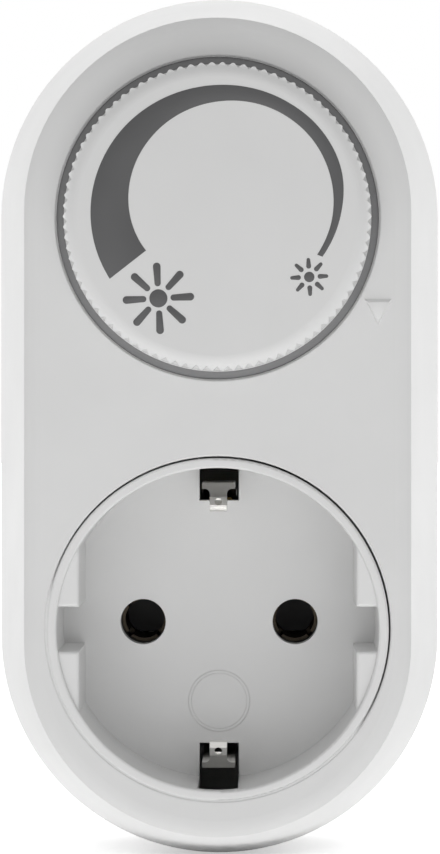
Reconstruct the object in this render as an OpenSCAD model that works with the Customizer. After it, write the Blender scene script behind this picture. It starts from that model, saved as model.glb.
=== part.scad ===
// Plug-in dimmer: a stadium-shaped housing with a socket in front, a plug behind and a dial above.
// Everything is drawn in a face frame: x to the right, y up, z towards the viewer, in millimetres.
// z = 0 is the plug's pin face and the z axis is the common axis of plug and socket.
// The face frame is stood up at the end, so +Z is up and +Y points into the wall.

/* [Body] */
// Panel beside the wider of the two openings, out to the crease
panel_margin = 2.55; // [1.5:0.05:5]
// Distance from the crease out to the parting line
crease_in = 4.05; // [2:0.05:5]
// Radius of the panel's soft edge
edge_r = 4.2; // [3:0.1:5]
// Angle that the soft edge turns through before the crease
edge_turn = 28; // [20:1:45]
// Depth of the front half
front_depth = 21; // [17:0.5:24]
// Depth of the rear half
rear_depth = 22; // [18:0.5:28]
// How much the rear half narrows towards the wall
rear_draft = 1; // [0.2:0.1:2]
// Radius round the rear face
rear_edge_r = 3; // [2.4:0.1:4]
// Wall of both halves
wall = 2.2; // [1.8:0.1:2.6]
// Panel between the dial's opening and the socket's
bridge = 9.28; // [8:0.01:14]
// Upper arc's centre above the dial's axis
crown_rise = 0.85; // [0:0.05:3]
// Lower arc's centre below the socket's axis
foot_drop = 1.75; // [0.5:0.05:4]
// Chamfer that makes the parting line a groove
part_groove = 0.25; // [0.1:0.05:0.5]
// Thickness of the tongue at the parting line
tongue_t = 1; // [0.6:0.1:1.2]
// Height of the tongue at the parting line
tongue_h = 1.5; // [0.8:0.1:2.5]
// Rounding of the mouths in the panel
mouth_r = 0.35; // [0.2:0.05:0.6]

/* [Dial] */
// Radius of the knob over its teeth
knob_r = 18.5; // [16:0.1:22]
// Height of the knob above the panel
knob_proud = 6; // [5:0.1:8]
// Number of teeth round the knob
knob_teeth = 90; // [60:1:120]
// Depth of a tooth
tooth_depth = 0.55; // [0.2:0.01:0.7]
// Rounding of a tooth's tip
tip_round = 0.07; // [0.02:0.01:0.12]
// Height of the smooth band below the teeth
band_h = 1.6; // [0.8:0.1:3]
// How far the smooth band lies inside the teeth's tips
band_in = 0.1; // [0:0.05:0.4]
// Rounding of the knob's top edge
knob_edge_r = 1.8; // [1:0.1:2.5]
// Thickness of the knob's top
knob_top_t = 2; // [1.2:0.1:2.6]
// Thickness of the knob's skirt below the teeth
skirt_t = 1.7; // [1.2:0.1:2.4]
// Width of the grey ring that shows round the knob
ring_w = 0.95; // [0.6:0.05:2]
// Grey ring below the panel
ring_drop = 0.5; // [0.2:0.05:1]
// Thickness of the carrier's disc
disc_t = 1.6; // [1.2:0.1:2.4]
// Height of the spigot that holds the knob
spigot_h = 2; // [1:0.1:3]
// Thickness of the spigot
spigot_t = 1.7; // [1:0.1:2.5]
// Radius of the hub
hub_r = 5.5; // [4.8:0.1:7]
// Space between the carrier's disc and the pocket's floor
pocket_clear = 2.1; // [1.2:0.1:3]
// Thickness of the pocket's floor and wall
pocket_t = 1.6; // [1.2:0.1:2.2]
// Length of the bearing collar below the pocket
collar_drop = 2; // [1:0.1:3]
// Wall of the bearing collar
collar_t = 2; // [1.4:0.1:3]
// Side of the index mark on the panel
mark_side = 3.5; // [2:0.1:4]
// Height of the index mark on the panel
mark_drop = 3.4; // [2:0.1:4]
// Thickness of the index mark
mark_h = 0.4; // [0.1:0.05:0.5]
// Angle of the index mark below the horizontal
mark_angle = 30.4; // [20:0.2:40]
// Distance from the dial's opening to the index mark's middle
mark_gap = 2.9; // [2.4:0.1:3.6]

/* [Socket] */
// Radius of the socket's well
well_r = 19.5; // [18.5:0.1:21]
// Depth of the well
well_depth = 17.5; // [16:0.1:19]
// Width of the insert's rim
rim_w = 1.2; // [1:0.05:1.8]
// Thickness of the well's floor
floor_t = 3; // [2:0.1:4]
// Distance between the pins, and between the pin holes
pin_pitch = 19; // [18:0.1:20]
// Clearance of a pin in its hole, on the diameter
hole_play = 0.84; // [0.4:0.02:1.4]
// How far the guide lugs stand into the well
lug_depth = 2.75; // [2:0.05:3.4]
// Width of the slot between the guide lugs
lug_slot = 5.4; // [4.5:0.1:6.5]
// Lugs below the rim
lug_drop = 0.6; // [0.3:0.05:1.2]
// Rounding of the lugs' edges
lug_round = 0.4; // [0.2:0.05:0.6]
// Rounding of the rim's edges
rim_round = 0.3; // [0.1:0.05:0.4]
// Width of the earth slots
earth_slot_w = 4.9; // [4.4:0.1:6]
// Rim left in front of an earth slot
slot_bridge = 1.6; // [1:0.1:2.5]
// Depth of the insert's flange below the panel
flange_depth = 9; // [7:0.5:11]
// Thickness of the insert's flange
flange_t = 2; // [1.4:0.1:3]
// Width of the flange and of the collar that it meets
flange_w = 1.4; // [1:0.1:1.8]
// How far the insert rests below the middle of its opening
insert_sag = 0.07; // [0:0.01:0.08]
// How far the insert rests to the left of the middle of its opening
insert_aside = 0.05; // [0:0.01:0.08]
// Radius of the raised ring on the well's floor
floor_ring_r = 3.65; // [2.5:0.05:4]
// Raised ring's centre below the socket's axis
floor_ring_drop = 9.9; // [8:0.1:10.5]
// Height of the raised ring
floor_ring_h = 0.15; // [0.1:0.05:0.3]
// Width of the raised ring's line
floor_ring_w = 0.35; // [0.2:0.05:0.6]

/* [Plug] */
// Diameter of a plug pin
pin_d = 4.8; // [4:0.1:5]
// Length of a plug pin
pin_len = 19; // [18:0.5:20]
// Height of the plug's boss
boss_h = 17; // [15:0.5:19]
// Clearance of the boss in a well like the one in front
boss_play = 1; // [0.6:0.1:1.6]
// Clearance of the boss between guide lugs
flat_play = 0.3; // [0.2:0.05:0.6]
// Thickness of the boss's face
face_t = 2.5; // [2:0.1:3.5]
// Rounding of the boss's front edge
boss_edge_r = 1.5; // [0.8:0.1:2.2]
// Step from a pin to its root in the boss's face
pin_root = 0.3; // [0.2:0.05:0.5]
// Step from a pin to its collar
pin_collar = 1.2; // [0.8:0.1:1.4]
// Thickness of a pin's collar
pin_collar_t = 1.5; // [1:0.1:2]
// Radius of a pin's tail
pin_tail_r = 1.6; // [1.2:0.1:2]
// Length of a pin's tail
pin_tail_len = 5.5; // [4:0.1:6.5]

/* [Earth] */
// Middle of the earth strip below the boss's round side
earth_recess = 2.9; // [2.4:0.1:3.4]
// Thickness of the earth strip
strip_t = 0.7; // [0.5:0.05:0.9]
// Width of the earth strip
strip_w = 4; // [3.4:0.1:4.2]
// Width of the spring tongue in the clip
tongue_w = 2.1; // [1.6:0.1:2.4]
// How far the clip stands outside the strip's line in the plug
clip_out = 1.6; // [1:0.1:2]
// Clip's shoulders below the panel
shoulder_depth = 9.6; // [8.5:0.1:11]
// Height of the spring tongue above the shoulders
tongue_rise = 2.6; // [2:0.1:3.4]
// How far the spring tongue reaches in from the shoulders
tongue_reach = 2.8; // [2.2:0.1:3.2]
// Radius of the rivets
rivet_r = 0.8; // [0.5:0.1:1]

/* [Contacts] */
// Thickness of a contact sleeve
sleeve_t = 0.6; // [0.4:0.05:0.8]
// Wall of the contact carrier
carrier_wall = 1.6; // [1.2:0.1:2.2]
// Carrier above the rear wall
carrier_lift = 2.8; // [2.6:0.1:4]
// Depth of the carrier's entry in front of the sleeves
entry_depth = 4; // [2.5:0.1:5]
// Thickness of the connecting strips
link_t = 0.8; // [0.5:0.05:0.9]
// Width of the neutral link
link_w = 4.8; // [4:0.1:5.2]
// Length of the neutral link's tab
link_tab = 3; // [2:0.1:4]
// Width of the neutral link's tab
link_tab_w = 3; // [2:0.1:3.4]
// Width of the neutral sleeve's tail
tail_w = 2; // [1.4:0.1:2.6]
// Radius of the insulated wires
wire_r = 0.9; // [0.6:0.05:1]
// Bend of the insulated wires
wire_bend = 2.5; // [2:0.1:3]

/* [Board] */
// Thickness of the circuit board
board_t = 1.6; // [1.2:0.1:2]
// Clearance of the board inside the housing
board_play = 1; // [0.5:0.1:2]
// Radius of the potentiometer's case
pot_r = 8.2; // [7:0.1:8.6]
// Height of the potentiometer's case
pot_h = 8; // [6:0.5:9]
// Radius of the potentiometer's bushing
bushing_r = 4; // [3.6:0.1:5]
// Length of the potentiometer's bushing
bushing_len = 7; // [4:0.5:8]
// Gap from the bushing to the dial's hub
bushing_gap = 3.4; // [2:0.1:5]
// Radius of the potentiometer's shaft
shaft_r = 3; // [2.6:0.05:3.2]
// Depth of the flat on the shaft
shaft_flat = 0.5; // [0.3:0.05:0.8]
// Width of the interference suppression capacitor
cap_w = 18; // [14:0.5:20]
// Thickness of the interference suppression capacitor
cap_d = 8; // [6:0.1:8.5]
// Height of the interference suppression capacitor
cap_h = 14; // [10:0.5:18]
// Width of the timing capacitor
timing_w = 7; // [5:0.1:8]
// Thickness of the timing capacitor
timing_d = 4; // [3:0.1:5]
// Height of the timing capacitor
timing_h = 7; // [5:0.5:10]
// Outer radius of the choke's core
choke_r = 6.5; // [5.5:0.1:6.6]
// Inner radius of the choke's core
choke_bore_r = 3.2; // [2.4:0.1:3.6]
// Height of the choke's core
choke_h = 6; // [4:0.1:7]
// Thickness of the choke's winding
winding_t = 0.8; // [0.5:0.1:0.9]
// Width of the triac
triac_w = 9.5; // [8:0.1:10]
// Thickness of the triac's moulding
triac_d = 4.4; // [3.6:0.1:5]
// Height of the triac's moulding
triac_h = 9; // [7:0.5:10]
// Height of the triac's tab
tab_h = 6; // [4:0.5:7]
// Thickness of the heat sink
sink_t = 1.6; // [1.2:0.1:2]
// Height of the heat sink
sink_h = 18; // [15:0.5:19]
// Number of the heat sink's fins
sink_fins = 4; // [3:1:5]
// Radius of the fuse
fuse_r = 2.6; // [2.2:0.1:2.8]
// Length of the fuse
fuse_len = 20; // [16:0.5:20]
// Length of a fuse cap
fuse_cap_len = 5; // [4:0.1:6]

/* [Fasteners] */
// Radius of a housing screw's shank
screw_r = 1.4; // [1.2:0.1:1.6]
// Radius of a housing screw's head
screw_head_r = 2.8; // [2.4:0.1:3]
// Height of a housing screw's head
screw_head_h = 2; // [1.4:0.1:2.4]
// Length of a housing screw below its head
screw_len = 12; // [9:0.5:14]
// Wall of the screw posts round the head's recess
post_wall = 1; // [0.8:0.1:1.3]
// Lower screws' distance from the housing's side
post_inset = 8; // [7.4:0.1:10]
// Upper screws' distance from the middle
post_x = 12.5; // [11:0.1:13]
// Upper screws above the dial's axis
post_rise = 16.5; // [15:0.1:17]

/* [Clearances] */
// Radial clearance of a turning fit
run_gap = 0.05; // [0.03:0.01:0.08]
// Clearance of a fixed fit
fit_gap = 0.05; // [0.03:0.01:0.1]
// Seam between the insert and the panel
seam_gap = 0.15; // [0.13:0.01:0.25]
// Gap between the grey ring and the panel
ring_gap = 0.12; // [0.1:0.01:0.3]
// End play of the dial
end_play = 0.3; // [0.2:0.05:0.5]
// Clearance at the parting line's tongue
tongue_gap = 0.1; // [0.05:0.05:0.2]

/* [Hidden] */
$fn = 96;

// Openings and outline
ring_r = knob_r + ring_w;
dial_hole_r = ring_r + ring_gap;
rim_r = well_r + rim_w;
socket_hole_r = rim_r + seam_gap;
body_r = max(dial_hole_r, socket_hole_r) + panel_margin + crease_in;
dial_y = socket_hole_r + bridge + dial_hole_r;
arc_top = dial_y + crown_rise;
crease_r = body_r - crease_in;
flat_r = crease_r - edge_r * sin(edge_turn);
rear_r = body_r - rear_draft;
tongue_r = body_r - wall + tongue_t;

// Levels along z, from the plug's face to the knob's top
z_rear = boss_h;
z_in = z_rear + wall;
z_part = z_rear + rear_depth;
z_front = z_part + front_depth;
z_panel = z_front - wall;
z_crease = z_front - edge_r * (1 - cos(edge_turn));
z_floor = z_front - well_depth;
z_back = z_floor - floor_t;
z_flange = z_front - flange_depth;
z_knob = z_front + knob_proud;
z_disc = z_front - ring_drop;
z_disc_low = z_disc - disc_t;
z_pocket = z_disc_low - pocket_clear;
z_pocket_low = z_pocket - pocket_t;
z_collar_low = z_pocket_low - collar_drop;

// Dial's clip and hub
clip_t = 0.7;
clip_land = 0.8;
clip_bite = 0.8;
clip_reach = 1.7;
clip_opening = 80;
z_clip = z_collar_low - end_play;
z_hub_low = z_clip - clip_t - clip_land;
z_hub_top = z_knob - knob_top_t - end_play;
groove_r = hub_r - clip_bite;
clip_r = hub_r + clip_reach;
knob_bore_r = knob_r - tooth_depth - skirt_t;
band_r = knob_r - band_in;

// Potentiometer and board, hung below the dial
z_bushing = z_hub_low - bushing_gap;
z_case = z_bushing - bushing_len;
z_board = z_case - pot_h;
z_board_low = z_board - board_t;
shaft_seat = 2;

// Screw posts and the places where the halves meet inside
post_r = screw_head_r + 2 * fit_gap + post_wall;
head_recess_r = screw_head_r + 2 * fit_gap;
cover_post_r = screw_r + 1.8;
post_seat_t = 4;
z_split = z_board + 2;
z_seat = z_split - post_seat_t;
board_ledge = 1;
lower_post = [body_r - post_inset, socket_hole_r + bridge / 2];
upper_post = [post_x, dial_y + post_rise];
board_y = lower_post.y + post_r + 0.6;
board_r = rear_r - wall - board_play;
peg_r = 1.2;
peg_post_r = 2.2;
peg = [15, board_y + peg_post_r + 0.3];

// Places on the board: two capacitors, the choke, the small parts, the heat sink and the fuse
part_gap = 2;
cap_y = dial_y - pot_r - part_gap - cap_d / 2;
timing_at = [-cap_w / 2 - part_gap - timing_w / 2, cap_y - cap_d / 2 + timing_d / 2];
choke_at = [-pot_r - choke_r - winding_t - fit_gap, dial_y + 3.9];
small_at = [-pot_r - 3.2, choke_at.y - choke_r - winding_t - 4.5];
small_step = 3.6;
sink_at = [pot_r + 6.3, dial_y + pot_r];
triac_lift = 3;
tab_t = 1.3;
leg_pitch = 2.54;
fuse_at = [pot_r + 8.2, board_y + 1, z_board + fuse_r + 1.2];
cap_wall = 0.3;
cap_end = 0.6;

// Plug boss and earth strips
boss_r = well_r - boss_play;
lug_x = well_r - lug_depth;
flat_x = lug_x - flat_play;
earth_y = boss_r - earth_recess;
groove_y = earth_y - strip_t / 2;
boss_in_x = flat_x - wall;
boss_in_y = groove_y - wall;
groove_w = strip_w + 2;
slot_in = groove_y - 0.1;
clip_y = earth_y + clip_out;
z_shoulder = z_front - shoulder_depth;

// Contacts
pin_x = pin_pitch / 2;
pin_r = pin_d / 2;
pin_root_r = pin_r + pin_root;
pin_collar_r = pin_r + pin_collar;
z_tail = face_t + pin_collar_t + pin_tail_len;
hole_r = pin_r + hole_play / 2;
sleeve_in = pin_r + fit_gap;
sleeve_r = sleeve_in + sleeve_t;
pocket_r = sleeve_r + 0.4;
z_carrier = z_in + carrier_lift;
z_sleeve = z_carrier + carrier_wall;
z_sleeve_top = z_back - entry_depth;
sleeve_base = 1;
tail_y = sleeve_r + 0.8;
tail_in = sqrt(pow(sleeve_in, 2) - pow(tail_w / 2, 2));
z_link = z_carrier - 1 - link_t;
rib_t = 1.5;
rib_x = pin_x - 5.3;
link_x = pin_x - 3.3;
load_tab_x = -pin_x + sleeve_r - 0.85;
load_tab_w = 1.5;
load_tab_y = pocket_r + carrier_wall + 2;
earth_link_w = 3;
earth_tab_h = 5;
z_rivet = z_link + link_t + earth_tab_h - 2;
z_run = z_sleeve + sleeve_base / 2;
wire_y = board_y + 4;

// Colours
white = [0.92, 0.92, 0.91];
dial_white = [0.93, 0.93, 0.92];
ring_grey = [0.30, 0.30, 0.31];
nickel = [0.74, 0.73, 0.70];
brass = [0.80, 0.64, 0.32];
black = [0.10, 0.10, 0.11];
board_green = [0.12, 0.34, 0.20];

// Outer half-width of the front half at height z, between the parting line and the crease
function side_r(z) = body_r - (z - z_part) * crease_in / (z_crease - z_part);

// Stands the face frame up: y becomes up, z points out of the wall
module stand() {
    rotate([90, 0, 0]) children();
}

// Sector of a disc between two angles, less than a half turn
module pie(r, a0, a1) {
    reach = 2 * r;
    mid = (a0 + a1) / 2;
    intersection() {
        circle(r);
        polygon([
            [0, 0],
            reach * [cos(a0), sin(a0)],
            reach * [cos(mid), sin(mid)],
            reach * [cos(a1), sin(a1)]
        ]);
    }
}

// Carries a half profile (distance from the centre line, height) round the stadium outline
module stadium_sweep() {
    translate([0, arc_top, 0]) rotate_extrude(angle = 180) children();
    translate([0, -foot_drop, 0]) rotate([0, 0, 180]) rotate_extrude(angle = 180) children();
    translate([0, arc_top, 0]) rotate([90, 0, 0]) linear_extrude(arc_top + foot_drop) {
        children();
        mirror([1, 0]) children();
    }
}

// Round hole from z0 up to a face, with its mouth rounded
module mouth_cut(r, z0, z_face) {
    z_arc = z_face - 0.9 * mouth_r;
    rotate_extrude() difference() {
        translate([0, z0]) square([r + mouth_r, z_face + 1 - z0]);
        translate([r, z0 - 1]) square([mouth_r + 1, z_arc - z0 + 1]);
        translate([r + mouth_r, z_arc]) circle(mouth_r);
    }
}

// Solid ring between two radii and two heights
module ring(r_in, r_out, z0, z1) {
    difference() {
        translate([0, 0, z0]) cylinder(r = r_out, h = z1 - z0);
        translate([0, 0, z0 - 1]) cylinder(r = r_in, h = z1 - z0 + 2);
    }
}

// Box given by its lowest and highest corner
module block(low, high) {
    translate(low) cube(high - low);
}

// Left and right copies
module both_sides() {
    children();
    mirror([1, 0, 0]) children();
}

// Upper and lower copies
module both_ends() {
    children();
    mirror([0, 1, 0]) children();
}

// Places of the four screw posts
module at_posts() {
    both_sides() {
        translate([lower_post.x, lower_post.y, 0]) children();
        translate([upper_post.x, upper_post.y, 0]) children();
    }
}

// Outer half profile of the front half: drafted side, crease, soft edge and flat panel
module cover_outer() {
    polygon([
        [0, z_part],
        [body_r - part_groove, z_part],
        [body_r, z_part + part_groove],
        [crease_r, z_crease],
        [flat_r, z_front],
        [0, z_front]
    ]);
    translate([flat_r, z_front - edge_r]) pie(edge_r, 90 - edge_turn, 90);
}

// Inner half profile of the front half, with the rabbet for the tongue
module cover_inner() {
    z_rabbet = z_part + tongue_h + tongue_gap;
    rabbet_r = tongue_r + tongue_gap;
    polygon([
        [0, z_part - 1],
        [rabbet_r, z_part - 1],
        [rabbet_r, z_rabbet],
        [side_r(z_rabbet) - wall, z_rabbet],
        [side_r(z_panel) - wall, z_panel],
        [0, z_panel]
    ]);
}

// Outer half profile of the rear half, with its tongue
module rear_outer() {
    in_r = rear_r - rear_edge_r;
    z_edge = z_rear + rear_edge_r;
    polygon([
        [0, z_rear],
        [in_r, z_rear],
        [in_r, z_edge],
        [rear_r, z_edge],
        [body_r, z_part - part_groove],
        [body_r - part_groove, z_part],
        [tongue_r, z_part],
        [tongue_r, z_part + tongue_h],
        [0, z_part + tongue_h]
    ]);
    translate([in_r, z_edge]) pie(rear_edge_r, 270, 360);
}

// Inner half profile of the rear half
module rear_inner() {
    corner = rear_edge_r - wall / 2;
    polygon([
        [0, z_in],
        [rear_r - wall - corner, z_in],
        [rear_r - wall, z_in + corner],
        [body_r - wall, z_part],
        [body_r - wall, z_part + tongue_h + 1],
        [0, z_part + tongue_h + 1]
    ]);
}

// Raised triangle on the panel that points down beside the dial
module index_mark() {
    at = (dial_hole_r + mark_gap) * [cos(mark_angle), -sin(mark_angle)];
    taper = 0.7;
    translate([at.x, dial_y + at.y, z_front - mark_h]) linear_extrude(2 * mark_h, scale = taper)
        polygon([
            [-mark_side / 2, mark_drop / 2],
            [0, -mark_drop / 2],
            [mark_side / 2, mark_drop / 2]
        ]);
}

// Front half of the housing
module front_cover() {
    pocket_out = dial_hole_r + pocket_t;
    collar_in = hub_r + run_gap;
    z_pilot = z_split + screw_len - post_seat_t + 1;
    z_root = z_panel + wall / 2;
    color(white) stand() difference() {
        union() {
            stadium_sweep() difference() {
                cover_outer();
                cover_inner();
            }
            translate([0, dial_y, z_pocket_low]) cylinder(r = pocket_out, h = z_root - z_pocket_low);
            translate([0, dial_y, z_collar_low])
                cylinder(r = collar_in + collar_t, h = z_pocket_low - z_collar_low + pocket_t / 2);
            translate([insert_aside, insert_sag, z_flange])
                cylinder(r = socket_hole_r + flange_w, h = z_root - z_flange);
            at_posts() translate([0, 0, z_split]) cylinder(r = cover_post_r, h = z_root - z_split);
            index_mark();
        }
        translate([0, dial_y, 0]) difference() {
            mouth_cut(dial_hole_r, z_pocket, z_front);
            ring(collar_in - 1, collar_in + collar_t, z_pocket - 1, z_disc_low - end_play);
        }
        translate([0, dial_y, z_collar_low - 1]) cylinder(r = collar_in, h = z_front - z_collar_low);
        translate([insert_aside, insert_sag, 0]) mouth_cut(socket_hole_r, z_flange - 1, z_front);
        both_ends() block(
            [-earth_slot_w / 2 - 1, earth_y, z_flange - 1],
            [earth_slot_w / 2 + 1, socket_hole_r + flange_w + 1, z_front - slot_bridge - 1]
        );
        at_posts() translate([0, 0, z_split - 1]) cylinder(r = screw_r + fit_gap, h = z_pilot - z_split + 1);
    }
}

// Plug boss with its round front edge, the flats beside the ribs, and the earth grooves
module boss() {
    z_root = z_rear + wall / 2;
    in_r = boss_r - boss_edge_r;
    rib_half = lug_slot / 2 - flat_play;
    difference() {
        rotate_extrude() {
            polygon([
                [0, 0], [in_r, 0], [in_r, boss_edge_r], [boss_r, boss_edge_r], [boss_r, z_root], [0, z_root]
            ]);
            translate([in_r, boss_edge_r]) pie(boss_edge_r, 270, 360);
        }
        both_sides() both_ends() block([flat_x, rib_half, -1], [boss_r + 1, boss_r + 1, z_rear]);
    }
}

// Space inside the boss, between the flats' walls and the earth grooves' floors
module boss_hollow() {
    intersection() {
        translate([0, 0, face_t]) cylinder(r = boss_r - wall, h = z_in + 1 - face_t);
        block([-boss_in_x, -boss_in_y, 0], [boss_in_x, boss_in_y, z_in + 2]);
    }
}

// Screw post of the rear half: a shoulder under the board, then a neck up to the cover's post
module rear_post(shoulder) {
    translate([0, 0, z_rear + wall / 2]) cylinder(r = post_r, h = z_split - z_rear - wall / 2);
    if (shoulder)
        translate([0, 0, z_rear + wall / 2])
            cylinder(r = post_r + board_ledge, h = z_board_low - z_rear - wall / 2);
}

// Rear half of the housing
module rear_housing() {
    color(white) stand() {
        difference() {
            union() {
                stadium_sweep() difference() {
                    rear_outer();
                    rear_inner();
                }
                boss();
                both_sides() {
                    translate([lower_post.x, lower_post.y, 0]) rear_post(false);
                    translate([upper_post.x, upper_post.y, 0]) rear_post(true);
                    translate([peg.x, peg.y, z_rear + wall / 2])
                        cylinder(r = peg_post_r, h = z_board_low - z_rear - wall / 2);
                    translate([peg.x, peg.y, z_board_low - 1]) cylinder(r = peg_r, h = board_t + 1);
                }
            }
            boss_hollow();
            both_sides() translate([pin_x, 0, -1]) cylinder(r = pin_root_r + fit_gap, h = face_t + 2);
            both_ends() {
                block([-groove_w / 2, groove_y, -1], [groove_w / 2, boss_r + 1, z_rear]);
                block(
                    [-strip_w / 2 - fit_gap, groove_y, z_rear - 1],
                    [strip_w / 2 + fit_gap, groove_y + strip_t + fit_gap, z_in + 1]
                );
            }
            at_posts() {
                translate([0, 0, z_rear - 1]) cylinder(r = head_recess_r, h = z_seat - z_rear + 1);
                translate([0, 0, z_seat - 1]) cylinder(r = screw_r + 2 * fit_gap, h = post_seat_t + 2);
            }
        }
        both_sides() block(
            [rib_x - rib_t / 2, -boss_in_y, face_t],
            [rib_x + rib_t / 2, boss_in_y, z_carrier]
        );
    }
}

// Corner of a block: a square from the origin with its upper left corner rounded
module rounded_step(size, r) {
    polygon([[0, 0], [size.x, 0], [size.x, size.y], [r, size.y], [r, size.y - r], [0, size.y - r]]);
    translate([r, size.y - r]) pie(r, 90, 180);
}

// Guide lug on one side of the slot: its inner edge and its slot edge are rounded
module guide_lug() {
    lug_h = well_depth - lug_drop + 0.5;
    reach = well_r + rim_w / 2;
    intersection() {
        translate([0, 0, z_floor - 0.5]) cylinder(r = reach, h = lug_h + 1);
        translate([lug_x, reach, z_floor - 0.5]) rotate([90, 0, 0]) linear_extrude(2 * reach)
            rounded_step([lug_depth + rim_w, lug_h], lug_round);
        translate([0, lug_slot / 2, z_floor - 0.5]) rotate([90, 0, 90]) linear_extrude(reach + 1)
            rounded_step([reach, lug_h], lug_round);
    }
}

// Round cup of the socket: rim flush with the panel, flange behind it, lugs, pin holes and earth slots
module socket_insert() {
    flange_r = socket_hole_r + flange_w;
    rr = rim_round;
    color(white) stand() difference() {
        union() {
            rotate_extrude() {
                polygon([
                    [0, z_back], [rim_r, z_back],
                    [rim_r, z_flange - flange_t], [flange_r, z_flange - flange_t],
                    [flange_r, z_flange], [rim_r, z_flange],
                    [rim_r, z_front - rr], [rim_r - rr, z_front - rr], [rim_r - rr, z_front],
                    [well_r + rr, z_front], [well_r + rr, z_front - rr], [well_r, z_front - rr],
                    [well_r, z_floor], [0, z_floor]
                ]);
                translate([rim_r - rr, z_front - rr]) pie(rr, 0, 90);
                translate([well_r + rr, z_front - rr]) pie(rr, 90, 180);
            }
            both_sides() both_ends() guide_lug();
            translate([0, -floor_ring_drop, 0]) ring(
                floor_ring_r - floor_ring_w / 2, floor_ring_r + floor_ring_w / 2,
                z_floor - floor_t / 2, z_floor + floor_ring_h
            );
        }
        both_sides() translate([pin_x, 0, z_back - 1]) cylinder(r = hole_r, h = floor_t + 2);
        both_ends() block(
            [-earth_slot_w / 2, slot_in, z_back - 1],
            [earth_slot_w / 2, socket_hole_r, z_front - slot_bridge]
        );
    }
}

// Serrated knob cap: a toothed prism trimmed by a revolved crown, on a smooth band, hollow below
module dial_knob() {
    step = 360 / knob_teeth;
    tooth = [[-0.12, tip_round], [0, 0], [0.12, tip_round], [0.5, tooth_depth]];
    crown_a = 10;
    crown_in = knob_r - knob_edge_r;
    z_crown = z_knob - knob_edge_r;
    color(dial_white) stand() translate([0, dial_y, 0]) difference() {
        union() {
            translate([0, 0, z_disc]) cylinder(r = band_r, h = band_h);
            intersection() {
                translate([0, 0, z_disc + band_h / 2]) linear_extrude(z_knob - z_disc) polygon([
                    for (i = [0 : knob_teeth - 1], p = tooth)
                        (knob_r - p.y) * [cos((i + p.x) * step), sin((i + p.x) * step)]
                ]);
                rotate_extrude() {
                    polygon([
                        [0, z_disc + band_h], [knob_r + 1, z_disc + band_h],
                        [knob_r + 1, z_crown + knob_edge_r * sin(crown_a)],
                        [crown_in + knob_edge_r * cos(crown_a), z_crown + knob_edge_r * sin(crown_a)],
                        [crown_in, z_crown], [crown_in, z_knob], [0, z_knob]
                    ]);
                    translate([crown_in, z_crown]) pie(knob_edge_r, crown_a, 90);
                }
            }
        }
        translate([0, 0, z_disc - 1]) cylinder(r = knob_bore_r, h = z_knob - knob_top_t - z_disc + 1);
    }
}

// Shaft section: a round with a flat
module d_section(r, flat) {
    difference() {
        circle(r);
        translate([-r, r - flat]) square([2 * r, 2 * flat]);
    }
}

// Grey carrier: the disc that shows as a ring, the spigot for the knob, and the hub
module dial_carrier() {
    spigot_r = knob_bore_r - 2 * fit_gap;
    color(ring_grey) stand() translate([0, dial_y, 0]) difference() {
        rotate_extrude() polygon([
            [0, z_hub_low], [hub_r, z_hub_low],
            [hub_r, z_clip - clip_t - fit_gap], [groove_r, z_clip - clip_t - fit_gap],
            [groove_r, z_clip + fit_gap], [hub_r, z_clip + fit_gap],
            [hub_r, z_disc_low], [ring_r, z_disc_low], [ring_r, z_disc],
            [spigot_r, z_disc], [spigot_r, z_disc + spigot_h],
            [spigot_r - spigot_t, z_disc + spigot_h], [spigot_r - spigot_t, z_disc],
            [hub_r, z_disc], [hub_r, z_hub_top], [0, z_hub_top]
        ]);
        translate([0, 0, z_hub_low - 1]) linear_extrude(z_hub_top - z_hub_low)
            d_section(shaft_r + fit_gap, shaft_flat);
    }
}

// Open spring clip in the hub's groove
module dial_clip() {
    color(nickel) stand() translate([0, dial_y, z_clip - clip_t]) rotate([0, 0, clip_opening / 2])
        rotate_extrude(angle = 360 - clip_opening)
            translate([groove_r + fit_gap, 0]) square([clip_r - groove_r - fit_gap, clip_t]);
}

// Potentiometer's can, with the terminal block below it
module potentiometer_case() {
    color(nickel) stand() translate([0, dial_y, 0]) difference() {
        union() {
            translate([0, 0, z_board]) cylinder(r = pot_r, h = pot_h);
            block([-pot_r * 0.6, -pot_r - 1.4, z_board], [pot_r * 0.6, 0, z_board + pot_h * 0.4]);
        }
        translate([0, 0, z_board + shaft_seat - end_play])
            cylinder(r = shaft_r + run_gap, h = pot_h);
    }
}

// Threaded bushing on the can, in which the shaft turns
module potentiometer_bushing() {
    color(brass) stand() translate([0, dial_y, 0]) ring(shaft_r + run_gap, bushing_r, z_case, z_bushing);
}

// Shaft with the flat that drives the hub
module potentiometer_shaft() {
    z_low = z_board + shaft_seat;
    z_flat = z_hub_low - 1;
    z_top = z_hub_top - 1 - end_play;
    color(nickel) stand() translate([0, dial_y, 0]) {
        translate([0, 0, z_low]) cylinder(r = shaft_r, h = z_flat - z_low);
        translate([0, 0, z_flat]) linear_extrude(z_top - z_flat)
            d_section(shaft_r, shaft_flat + fit_gap);
    }
}

// Circuit board with a round top, held on the upper posts' shoulders and two pegs
module circuit_board() {
    color(board_green) stand() difference() {
        union() {
            translate([0, arc_top, z_board_low]) rotate_extrude(angle = 180) square([board_r, board_t]);
            block([-board_r, board_y, z_board_low], [board_r, arc_top, z_board]);
        }
        both_sides() {
            translate([upper_post.x, upper_post.y, z_board_low - 1])
                cylinder(r = post_r + fit_gap, h = board_t + 2);
            translate([peg.x, peg.y, z_board_low - 1]) cylinder(r = peg_r + fit_gap, h = board_t + 2);
        }
    }
}

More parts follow.
